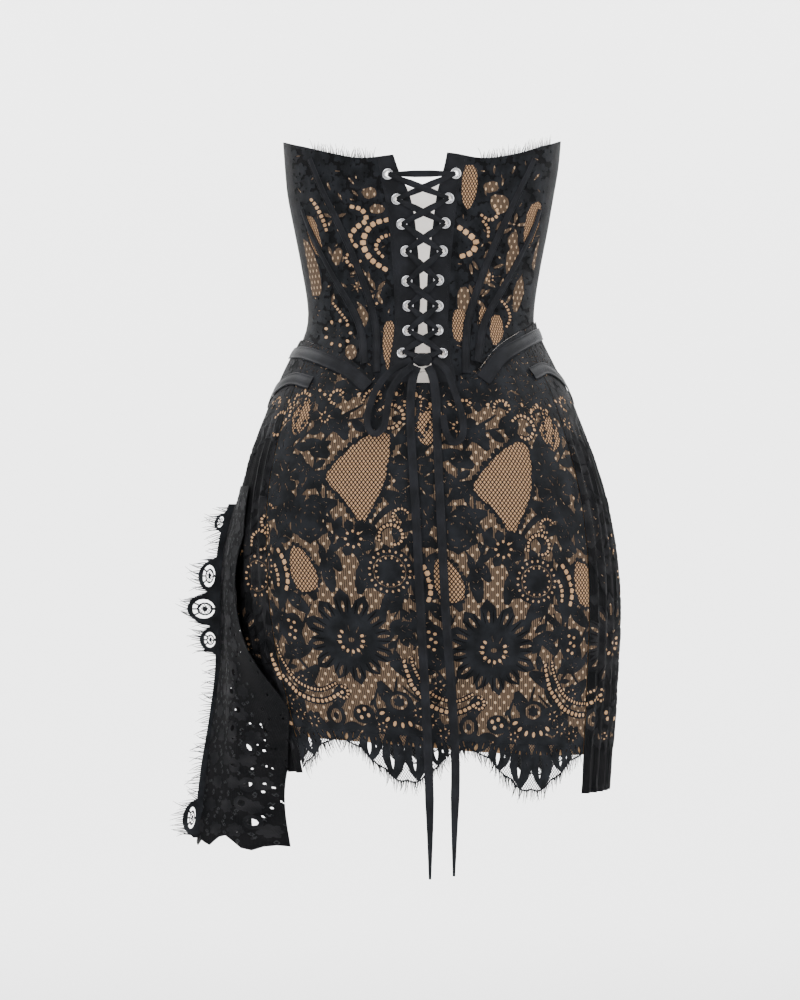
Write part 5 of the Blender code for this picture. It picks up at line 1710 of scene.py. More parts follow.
def bodice_lace_front() -> list[Shape]:
    """Lace on the front of the bodice: flowers, scrolls and windows in a mirrored lay."""
    shapes: list[Shape] = []
    for side in (-1, 1):
        lace = Pattern()
        worked_all_over(lace, (-100, 70, -70, 170))
        lace.flower((0, 50), 20, 9, 2, heart=7)
        lace.scroll((24, 76), 12, 200, -280, 4.0, 5)
        lace.scroll((-24, 82), 11, -20, 280, 3.6, 5)
        lace.window([(-12, 20), (4, 26), (12, 4), (2, -22), (-10, -8)], 3)
        lace.window([(26, 44), (38, 52), (42, 30), (34, 14), (24, 26)], 3, Role.GROUND)
        lace.window([(-40, 42), (-28, 48), (-24, 28), (-34, 14)], 3)
        lace.flower((26, -6), 13, 7, 2, heart=5)
        lace.flower((-28, -12), 13, 7, 2, heart=0)
        lace.pebbles([(-8, 108), (6, 104), (14, 94), (10, 82)], 4.0, 5)
        for index in range(14):
            place = turned((18 + 3.1 * index, 0), 137 * index, (0, 40))
            lace.petal(place, 67 * index, 0, 10, 3.2, Role.GROUND, 3)
        for shape in lace.placed(FORM.arc_of(180 + side * 42), 0.0):
            shapes.append(shape)
    return shapes


@dataclass
class Bodice:
    """Bodice panels with their lace, the satin plackets and the boning tapes."""

    side_seam: float = 73.0
    front_side: float = 112.0
    front_panel: float = 163.0
    placket_lift: float = 0.0010
    hole: float = 0.0035
    edge_ridge: float = 0.0024
    bone_width: float = 0.0078
    bone_end: float = 0.0065

    def panels(self) -> None:
        """Makes the panels: lace over nude at the back and front, black cloth at the sides."""
        low = shifted(waist_seam, LEVEL_SEAM / 4)
        gap = CLOSE_SEAM
        back = {"left": bodice_lace_left().seen(), "right": bodice_lace_right().seen()}
        front = bodice_lace_front()
        for word, side in (("left", -1), ("right", 1)):
            seams = (
                seam_line(PLACKET_SEAM, side), seam_line(INNER_SEAM, side), seam_line(OUTER_SEAM, side),
                straight_line(side * self.side_seam), straight_line(side * self.front_side),
                straight_line(side * self.front_panel),
            )
            names = ("centre_back", "mid_back", "back_gusset", "side_panel", "front_cup")
            for name, near, far in zip(names, seams, seams[1:]):
                start, end = (near, far) if side > 0 else (far, near)
                cut = outline(shifted(start, gap), shifted(end, -gap), low, top_edge)
                shapes = {"side_panel": [], "front_cup": front}.get(name, back[word])
                if name == "front_cup" and side < 0:
                    full = FORM.arc_of(270) - FORM.arc_of(-90)
                    shapes = [
                        Shape(shape.role, shape.level, tuple((arc - full, height) for arc, height in shape.loop))
                        for shape in front
                    ]
                self.panel(f"{name}_{word}", cut, shapes, name == "side_panel")
        left, right = straight_line(self.front_panel, gap), straight_line(360 - self.front_panel, -gap)
        self.panel("centre_front", outline(left, right, low, top_edge), front, False)

    def panel(self, name: str, cut: list[Flat], shapes: list[Shape], plain: bool) -> None:
        """Makes one panel.

        Args:
            name: The panel's name.
            cut: Its flat cut.
            shapes: The lace's shapes.
            plain: Whether it is plain black cloth.
        """
        # the ground between the bodice's flowers is the dense ground, darker partly as painted shade between the raised
        # petals
        cloth = LaceCloth(f"panel_{name}", cut, FORM.skin, 0.0, CLOTH, shapes, ground=Role.DENSE)
        finishes = lace_finishes()
        if plain:
            finishes[Role.DENSE.value] = BAND_LACE.material()
        piece = cloth.build(finishes)
        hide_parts(f"bodice_{name}")
        declare(cloth)

    def plackets(self) -> None:
        """Makes the two satin strips that carry the eyelets."""
        low = shifted(waist_seam, LEVEL_SEAM / 4)
        gap = CLOSE_SEAM
        lines = {
            "left": (seam_line(PLACKET_SEAM, -1, gap), seam_line(GAP_LEFT), EYELETS_LEFT),
            "right": (seam_line(GAP_RIGHT), seam_line(PLACKET_SEAM, 1, -gap), EYELETS_RIGHT),
        }
        for word, (left, right, spots) in lines.items():
            cut = outline(left, right, low, top_edge, 0.004)
            shapes = []
            heights = [0.149 - 0.006 * index for index in range(36)]
            heights = [height for height in heights if height > -0.060]
            for line, way in ((left, 1), (right, -1)):
                outer = [(line(height) + way * self.edge_ridge, height) for height in heights]
                inner = [(line(height) + way * (self.edge_ridge + 0.0007), height) for height in heights]
                shapes.append(Shape(Role.THREAD, 1, tuple(outer + inner[::-1])))
            for spot in spots:
                loop = []
                for index in range(14):
                    at = 2 * math.pi * index / 14
                    height = spot.height + self.hole * math.sin(at)
                    loop.append((FORM.arc_across(spot.across + self.hole * math.cos(at), height), height))
                shapes.append(Shape(Role.HOLE, 2, tuple(loop)))
            cloth = LaceCloth(
                f"placket_cloth_{word}", cut, FORM.skin, self.placket_lift - 0.0003, CLOTH, shapes, 0.0003, 0.004
            )
            piece = cloth.build([SATIN.material()] * 6)
            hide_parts(f"placket_{word}")
            declare(cloth)

    def tapes(self) -> None:
        """Makes the boning tapes over the back seams."""
        for word, side in (("left", -1), ("right", 1)):
            for name, rows, top in (("inner", INNER_SEAM, 0.152), ("outer", OUTER_SEAM, 0.104)):
                line = seam_line(rows, side)
                low = corner(line, shifted(waist_seam, self.bone_end))[1]
                heights = [top, *steps_between(top, low, 0.005), low]
                places = [(line(height), height) for height in heights]
                piece = tape_on_form(f"tape_{name}_{word}", places, self.bone_width, TAPE_LIFT)
                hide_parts(f"boning_tape_{name}_{word}")

    def build(self) -> None:
        """Makes the whole bodice."""
        self.panels()
        self.plackets()
        self.tapes()


TAPE_PROFILE = ((-1, 0.25), (-0.84, 0.92), (-0.66, 0.62), (-0.42, 0.95), (0, 1.1), (0.42, 0.95), (0.66, 0.62),
                (0.84, 0.92), (1, 0.25))
CORD_PROFILE = ((-1, 0.5), (-0.86, 0.95), (-0.4, 1.05), (0, 0.98), (0.4, 1.05), (0.86, 0.95), (1, 0.5),
                (0.86, 0.06), (0.4, 0), (0, 0.04), (-0.4, 0), (-0.86, 0.06))


def loft(mesh: bmesh.types.BMesh, rings: list[list[Vector]], step: float) -> None:
    """Adds a closed bar through rings of points, with its own flat map.

    Args:
        mesh: The mesh that it is added to.
        rings: Rings with the same number of points.
        step: Distance between two rings on the flat map.
    """
    lay = mesh.loops.layers.uv.verify()
    made = [[mesh.verts.new(point) for point in ring] for ring in rings]
    count = len(rings[0])
    faces = []
    for index, (first, second) in enumerate(zip(made, made[1:])):
        for low in range(count):
            high = (low + 1) % count
            face = mesh.faces.new((first[low], first[high], second[high], second[low]))
            faces.append(face)
            places = ((low, 0), (low + 1, 0), (low + 1, 1), (low, 1))
            for corner_loop, (across, along) in zip(face.loops, places):
                corner_loop[lay].uv = (across * 0.001, (index + along) * step)
    faces += [mesh.faces.new(made[0][::-1]), mesh.faces.new(made[-1])]
    bmesh.ops.recalc_face_normals(mesh, faces=faces)


def tape_on_form(name: str, places: list[Flat], width: float, lift: float) -> bpy.types.Object:
    """Satin tape with stitched edges, laid on the body form.

    Args:
        name: Its name.
        places: Flat places of its middle line.
        width: Its width.
        lift: Its inner face's distance from the form.

    Returns:
        The piece.
    """
    mesh = bmesh.new()
    rings = []
    for index, (arc, height) in enumerate(places):
        ahead, behind = places[min(index + 1, len(places) - 1)], places[max(index - 1, 0)]
        across = (FORM.skin(arc + NUDGE, height) - FORM.skin(arc - NUDGE, height)) / (2 * NUDGE)
        up = (FORM.skin(arc, height + NUDGE) - FORM.skin(arc, height - NUDGE)) / (2 * NUDGE)
        run = (FORM.skin(*ahead) - FORM.skin(*behind)).normalized()
        side = run.cross(normal_of(FORM.skin, arc, height)).normalized() * width / 2
        step = (side.dot(across) / across.length_squared, side.dot(up) / up.length_squared)
        ring = []
        for share, out in (*TAPE_PROFILE, (0.84, 0), (0, 0), (-0.84, 0)):
            place = (arc + step[0] * share, height + step[1] * share)
            ring.append(lifted(FORM.skin, *place, lift + out * TAPE_THICK))
        rings.append(ring)
    loft(mesh, rings, 0.005)
    piece = link(mesh, name, [SATIN.material()], 35)
    return piece


def flat_cord(mesh: bmesh.types.BMesh, points: list[Vector], outs: list[Vector], widths: list[float],
              thick: float) -> None:
    """Adds a flat cord with rounded edges whose inner face follows the points.

    Args:
        mesh: The mesh that it is added to.
        points: Its inner face's middle line.
        outs: Direction away from the dress at each point.
        widths: Its width at each point.
        thick: Its thickness.
    """
    rings = []
    for index, point in enumerate(points):
        ahead, behind = points[min(index + 1, len(points) - 1)], points[max(index - 1, 0)]
        side = (ahead - behind).normalized().cross(outs[index]).normalized() * widths[index] / 2
        rings.append([point + side * share + outs[index] * out * thick for share, out in CORD_PROFILE])
    loft(mesh, rings, 0.004)


@dataclass
class Lacing:
    """Eyelets, the lace between them, and the bow."""

    lift: float = 0.0017
    rise: float = 0.0013
    width: float = 0.0066
    thick: float = 0.0009
    tail_width: float = 0.0085
    foot: float = 0.0093
    sag: float = 0.0060
    shares: tuple[float, ...] = (0.38, 0.44, 0.5, 0.56, 0.62)

    def frame_at(self, spot: Spot) -> tuple[Vector, Vector, Vector, Vector]:
        """Place on the back with its directions across, up and outwards."""
        arc = FORM.arc_across(spot.across, spot.height)
        normal = normal_of(FORM.skin, arc, spot.height)
        up = Vector((0, 0, 1))
        up = (up - normal * up.dot(normal)).normalized()
        return FORM.skin(arc, spot.height), up.cross(normal), up, normal

    def eyelet_mesh(self) -> bpy.types.Mesh:
        """One rolled eyelet about the origin, facing +Z."""
        bpy.ops.object.select_all(action="DESELECT")
        bpy.ops.mesh.primitive_torus_add(
            major_segments=36, minor_segments=14, major_radius=0.0042, minor_radius=0.0013,
            location=(0, 0, self.placket_face() + self.rise * 0.45),
        )
        rim = bpy.context.object
        bpy.ops.object.mode_set(mode="EDIT")
        bpy.ops.mesh.select_all(action="SELECT")
        bpy.ops.transform.resize(value=(1, 1, 0.5), center_override=(0, 0, self.placket_face() + self.rise * 0.45))
        bpy.ops.object.mode_set(mode="OBJECT")
        bpy.ops.object.select_all(action="DESELECT")
        bpy.ops.mesh.primitive_cylinder_add(
            vertices=36, radius=0.00295, depth=0.0028, end_fill_type="NOTHING", location=(0, 0, 0.0003)
        )
        barrel = bpy.context.object
        wall = barrel.modifiers.new("wall", "SOLIDIFY")
        wall.thickness = 0.0003
        bpy.ops.object.modifier_apply(modifier="wall")
        rim.select_set(True)
        bpy.context.view_layer.objects.active = rim
        bpy.ops.object.join()
        bpy.ops.object.transform_apply(location=True, rotation=True, scale=True)
        mesh = rim.data.copy()
        bpy.data.objects.remove(rim, do_unlink=True)
        return mesh

    def placket_face(self) -> float:
        """Distance from the form to the foot of the eyelets' rims."""
        return self.lift

    def eyelets(self) -> None:
        """Places a copy of the eyelet at each spot."""
        model = self.eyelet_mesh()
        for word, spots in (("left", EYELETS_LEFT), ("right", EYELETS_RIGHT)):
            for index, spot in enumerate(spots, 1):
                middle, across, up, normal = self.frame_at(spot)
                turn = Matrix((across, up, normal)).transposed().to_4x4()
                mesh = bmesh.new()
                mesh.from_mesh(model)
                mesh.transform(Matrix.Translation(middle) @ turn)
                piece = link(mesh, f"ring_{word}_{index}", [SILVER.material()], 50)
                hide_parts(f"eyelet_{word}_{index}")

    def run(self, mesh: bmesh.types.BMesh, first: Spot, second: Spot, lift: float, sag: float = 0.0) -> None:
        """Adds one crossing from eyelet to eyelet."""
        start, _, _, start_out = self.frame_at(first)
        end, _, _, end_out = self.frame_at(second)
        length = (end - start).length
        low = self.lift + self.rise + 0.0005
        near = [(0.0, 0.0, 0.0, 0.54), (0.0016 / length, 0.55, 0.0, 0.57), (0.0030 / length, 1.0, 0.0, 0.60)]
        far = [(1 - share, climb, cross, wide) for share, climb, cross, wide in reversed(near)]
        middle = [(share, 1.0, 1.0, 1.0) for share in self.shares]
        points, outs, widths = [], [], []
        for share, climb, cross, wide in (*near, *middle, *far):
            if cross:
                base = start.lerp(end, share)
            else:
                across = first.across * (1 - share) + second.across * share
                height = first.height * (1 - share) + second.height * share
                base = FORM.skin(FORM.arc_across(across, height), height)
            normal = start_out.lerp(end_out, share).normalized()
            rise = 0.0008 + (low - 0.0008) * climb + (lift - low) * cross
            points.append(base + normal * rise - Vector((0, 0, sag * cross)))
            outs.append(normal)
            widths.append(self.width * wide)
        flat_cord(mesh, points, outs, widths, self.thick)

    def crossings(self) -> None:
        """Makes the lace between the plackets as one piece."""
        mesh = bmesh.new()
        low = self.lift + self.rise + 0.0005
        high = low + self.thick + 0.0008
        self.run(mesh, EYELETS_LEFT[0], EYELETS_RIGHT[0], low)
        self.run(mesh, EYELETS_LEFT[-1], EYELETS_RIGHT[-1], self.foot, self.sag)
        for row in range(len(EYELETS_LEFT) - 1):
            sides = ((EYELETS_LEFT, EYELETS_RIGHT), (EYELETS_RIGHT, EYELETS_LEFT))
            for index, (near, far) in enumerate(sides):
                self.run(mesh, near[row], far[row + 1], high if index == row % 2 else low)
        piece = link(mesh, "lacing_cord", [SATIN.material()], 60)
        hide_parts("lacing")

    def bow(self) -> None:
        """Makes the knot, its two loops and the two free ends."""
        for word, stops in (("left", LOOP_LEFT), ("right", LOOP_RIGHT)):
            route = [Vector(point) for point in smooth_route(stops, 44)]
            mesh = bmesh.new()
            flat_cord(mesh, route, [Vector((0, -1, 0))] * 44, [self.width] * 44, self.thick)
            piece = link(mesh, f"loop_{word}", [SATIN.material()], 60)
            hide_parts(f"bow_loop_{word}")
        mesh = bmesh.new()
        bmesh.ops.create_uvsphere(mesh, u_segments=28, v_segments=16, radius=1.0)
        for vert in mesh.verts:
            fold = 0.10 * math.sin(9 * vert.co.z + 3 * vert.co.x) * (1 - abs(vert.co.x)) ** 0.5
            vert.co *= 1 + fold
        bmesh.ops.scale(mesh, vec=(0.0093, 0.0033, 0.0061), verts=mesh.verts)
        bmesh.ops.translate(mesh, vec=(-0.0004, -0.1083, -0.0475), verts=mesh.verts)
        piece = link(mesh, "knot", [SATIN.material()], 60)
        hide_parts("bow_knot")
        for word, stops in (("left", TAIL_LEFT), ("right", TAIL_RIGHT)):
            count = 60
            route = [Vector(point) for point in smooth_route(stops, count)]
            widths = [self.tail_width * min((count - 1 - index) / 9 * 0.7 + 0.3, 1.0) for index in range(count)]
            mesh = bmesh.new()
            flat_cord(mesh, route, [Vector((0, -1, 0))] * count, widths, self.thick)
            piece = link(mesh, f"free_end_{word}", [SATIN.material()], 60)
            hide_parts(f"lace_end_{word}")

    def build(self) -> None:
        """Makes the eyelets, the lace and the bow."""
        self.eyelets()
        self.crossings()
        self.bow()


@dataclass
class Threads:
    """Eyelash threads along a cut edge."""

    name: str
    node: str
    edge: list[Flat]
    way: Flat
    surface: Surface
    length: float
    spacing: float
    seed: int
    lift: float = LACE_LIFT
    root: float = 0.00055

    def build(self) -> bpy.types.Object:
        """Makes all the threads, each a thin tapering strand, as one piece."""
        draw = random.Random(self.seed)
        mesh = bmesh.new()
        lay = mesh.loops.layers.uv.new(FLAT_MAP)
        wander = 0.0
        for start, end in zip(self.edge, self.edge[1:]):
            run = math.dist(start, end)
            count = max(int(run / self.spacing + draw.random()), 0)
            for index in range(count):
                share = (index + draw.uniform(0.2, 0.8)) / count
                wander = 0.55 * wander + draw.uniform(-0.28, 0.28)
                tall = self.length * draw.uniform(0.45, 1.0)
                foot = (start[0] + (end[0] - start[0]) * share, start[1] + (end[1] - start[1]) * share)
                curl = draw.uniform(-0.35, 0.35)
                rings = []
                for step in range(4):
                    along = step / 3
                    lean = wander * along + curl * along * along
                    arc = foot[0] + (self.way[0] * along + abs(self.way[1]) * lean) * tall - self.way[0] * 0.001
                    height = foot[1] + (self.way[1] * along + abs(self.way[0]) * lean) * tall - self.way[1] * 0.001
                    middle, normal = self.surface(arc, height), normal_of(self.surface, arc, height)
                    side = (self.surface(arc + NUDGE, height + NUDGE) - middle).normalized()
                    size = self.root * (1 - 0.75 * along)
                    middle = middle + normal * (self.lift - self.root)
                    third = side.cross(normal).normalized()
                    rings.append([
                        mesh.verts.new(middle + (side * math.cos(at) + third * math.sin(at)) * size)
                        for at in (0.0, 2.1, 4.2)
                    ])
                for first, second in zip(rings, rings[1:]):
                    for low in range(3):
                        high = (low + 1) % 3
                        mesh.faces.new((first[low], first[high], second[high], second[low]))
                mesh.faces.new(rings[0][::-1])
                mesh.faces.new(rings[-1])
        bmesh.ops.recalc_face_normals(mesh, faces=mesh.faces)
        for face in mesh.faces:
            for loop in face.loops:
                loop[lay].uv = (loop.vert.co.x, loop.vert.co.z)
        piece = link(mesh, self.name, [WORKED.material()], 60)
        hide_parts(self.node)
        return piece


@dataclass
class Skirt:
    """Lining, lace, scalloped border, hem threads, gathered side bands and hip tapes."""

    flower_arc: float = 0.031
    flower_height: float = -0.322
    pleats: int = 8
    pleat_rise: float = 0.0030
    pleat_top: float = -0.098
    pleat_ease: float = 0.040
    hip_tape_width: float = 0.0130

    def lining(self) -> None:
        """Makes the lining in four quarters."""
        high = shifted(waist_seam, -LEVEL_SEAM / 4)
        gap = CLOSE_SEAM
        for word, start in (("back_left", -90), ("back_right", 0), ("front_right", 90), ("front_left", 180)):
            left, right = straight_line(start, gap), straight_line(start + 90, -gap)
            cut = outline(left, right, lining_hem, high)
            arcs = steps_between(left(0.0) - 0.01, right(0.0) + 0.01, 0.006)
            rim = [(arc, waist_seam(arc) + 0.001) for arc in arcs]
            foot = [(arc, waist_seam(arc) - WAIST_BINDING) for arc in arcs]
            binding = [Shape(Role.DENSE, 1, tuple(rim + foot[::-1]))]
            cloth = LaceCloth(f"lining_{word}", cut, FORM.skin, 0.0, CLOTH, binding, 0.0, 0.012)
            piece = cloth.build([NUDE.material()] * 4 + [PALE.material(), DENSE.material()])
            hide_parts(f"skirt_lining_{word}")
            declare(cloth)

    def repeats(self, start: float, end: float) -> list[float]:
        """Arcs of the hem's valleys whose repeats reach into a stretch."""
        first = math.floor((start - VALLEY_ARC) / REPEAT) - 1
        last = math.ceil((end - VALLEY_ARC) / REPEAT) + 1
        return [VALLEY_ARC + REPEAT * index for index in range(first, last + 1)]

    def lace(self, word: str, start_degree: float, end_degree: float) -> None:
        """Makes the lace over the lining, and its border, for the back or the front."""
        start, end = FORM.arc_of(start_degree) + SEAM, FORM.arc_of(end_degree) - SEAM
        drawing = skirt_repeat()
        shapes = []
        for valley in self.repeats(start, end):
            arc = valley + self.flower_arc
            shapes += drawing.placed(arc, self.flower_height, hem_drop(arc))
        left, right = level_line(start), level_line(end)
        low, high = shifted(border_join, LEVEL_SEAM / 4), shifted(waist_seam, -LEVEL_SEAM / 4)
        arcs = steps_between(start - 0.01, end + 0.01, 0.003)
        seam = [(arc, waist_seam(arc) + 0.001) for arc in arcs]
        below = [(arc, waist_seam(arc) - 0.0075 - 0.003 * abs(math.sin(190 * arc))) for arc in arcs]
        shapes.append(Shape(Role.THREAD, 10, tuple(seam + below[::-1])))
        foot = [(arc, border_join(arc) - 0.001) for arc in arcs]
        above = [(arc, border_join(arc) + 0.006 + 0.004 * abs(math.sin(150 * arc))) for arc in arcs]
        shapes.append(Shape(Role.THREAD, 10, tuple(foot + above[::-1])))
        cloth = LaceCloth(
            f"lace_{word}", outline(left, right, low, high), FORM.skin, LACE_LIFT, LACE_THICK, shapes, closed=False
        )
        piece = cloth.build(lace_finishes())
        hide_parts(f"skirt_lace_{word}")
        declare(cloth)
        self.border(word, start, end, shapes)

    def border(self, word: str, start: float, end: float, shapes: list[Shape]) -> None:
        """Makes the scalloped border with its cut petals, and its threads."""
        step = REPEAT / PETALS / 6
        first, last = math.ceil((start - VALLEY_ARC) / step + 0.3), math.floor((end - VALLEY_ARC) / step - 0.3)
        arcs = [start, *(VALLEY_ARC + step * index for index in range(first, last + 1)), end]
        edge = [(arc, scallop(arc)) for arc in arcs]
        join = [(arc, border_join(arc)) for arc in (end, *steps_between(end, start, 0.008), start)]
        drawing: list[Shape] = []
        for valley in self.repeats(start, end):
            for index in range(PETALS):
                arc = valley + REPEAT * (index + 0.5) / PETALS
                foot, tip = border_join(arc), scallop(arc)
                tall = foot - tip
                if tall < 0.005:
                    continue
                lean = (index + 0.5 - PETALS / 2) * 0.0016
                petal = Pattern()
                size = tall / MILLI
                petal.petal((0, 0), -90, -7, size + 6.8, 27, Role.THREAD, 3)
                petal.petal((-1.2, 0), -92, size * 0.14, size * 0.62, 4.4, Role.HOLE, 5)
                petal.petal((1.6, 0), -88, size * 0.24, size * 0.38, 1.8, Role.THREAD, 6)
                for x, y in ((-6.2, -size * 0.16), (6.2, -size * 0.20), (6.0, -size * 0.44)):
                    petal.disc((x, y), 0.8, 1.8, Role.HOLE, 5, sides=6)
                for shape in petal.shapes:
                    loop = tuple(
                        (arc + x * MILLI + lean * min(-y / max(size, 1), 1), foot + y * MILLI) for x, y in shape.loop
                    )
                    drawing.append(Shape(shape.role, shape.level, loop))
        rim = [(arc, scallop(arc) + 0.0016) for arc in arcs]
        drawing.append(Shape(Role.THREAD, 4, tuple(edge + rim[::-1])))
        cloth = LaceCloth(f"border_{word}", edge + join, FORM.skin, LACE_LIFT, LACE_THICK, drawing, net_step=0.007)
        piece = cloth.build(lace_finishes(sheer=True))
        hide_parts(f"hem_lace_{word}")
        declare(cloth)
        if word == "back":
            Threads("hem_threads", "hem_fringe", edge[1:-1], (0, -1), FORM.skin, 0.0145, 0.0014, 5, root=0.00062).build()

    def bands(self) -> None:
        """Makes the gathered bands down both sides, in soft upright pleats."""
        for word, side in (("left", -1), ("right", 1)):
            ends = sorted((FORM.arc_of(side * BAND_START_ANGLE), FORM.arc_of(side * BAND_END_ANGLE)))
            start, end = ends[0] + SEAM / 2, ends[1] - SEAM / 2

            def pleated(arc: float, height: float, start: float = start, end: float = end) -> Vector:
                """Point of the pleated band."""
                share = (arc - start) / (end - start)
                drift = 0.12 * math.sin(9.0 * height + 2.0)
                rise = self.pleat_rise * (0.5 - 0.5 * math.cos(2 * math.pi * (self.pleats * share + drift)))
                eased = min(max((self.pleat_top - height) / self.pleat_ease, 0.0), 1.0)
                crease = 0.0005 * math.sin(61 * height + 17 * share) * math.sin(140 * height)
                return lifted(FORM.skin, arc, height, 0.0019 + (rise + crease * 0.6) * eased)

            low, high = level_line(BAND_HEM[word]), shifted(waist_seam, -LEVEL_SEAM)
            cut = outline(level_line(start), level_line(end), low, high, 0.0025)
            drawing = []
            for valley in self.repeats(start, end):
                drawing += skirt_repeat().placed(valley + self.flower_arc, self.flower_height)
            drawing = [
                Shape(Role.DENSE, shape.level, shape.loop) if shape.role is Role.NET else shape for shape in drawing
            ]
            cloth = LaceCloth(
                f"band_{word}", cut, pleated, 0.0, 0.0008, drawing, 0.00035, 0.0042, Role.DENSE, closed=False
            )
            finishes = lace_finishes()
            finishes[Role.THREAD.value] = finishes[Role.INSIDE.value] = BAND_LACE.material()
            piece = cloth.build(finishes)
            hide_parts(f"side_band_{word}")
            declare(cloth)

    def hip_tapes(self) -> None:
        """Makes the curved satin tapes at the hips."""
        for name, tables in (("upper", HIP_TAPE_UPPER), ("lower", HIP_TAPE_LOWER)):
            for word, turns in tables.items():
                route = [(FORM.arc_of(turn.angle), turn.height) for turn in turns]
                places = smooth_route(route, 30)
                piece = tape_on_form(f"hip_band_{name}_{word}", places, self.hip_tape_width, HIP_TAPE_LIFT)
                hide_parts(f"hip_tape_{name}_{word}")

    def build(self) -> None:
        """Makes the whole skirt."""
        self.lining()
        self.lace("back", -BAND_START_ANGLE, BAND_START_ANGLE)
        self.lace("front", BAND_END_ANGLE, 360 - BAND_END_ANGLE)
        self.bands()
        self.hip_tapes()


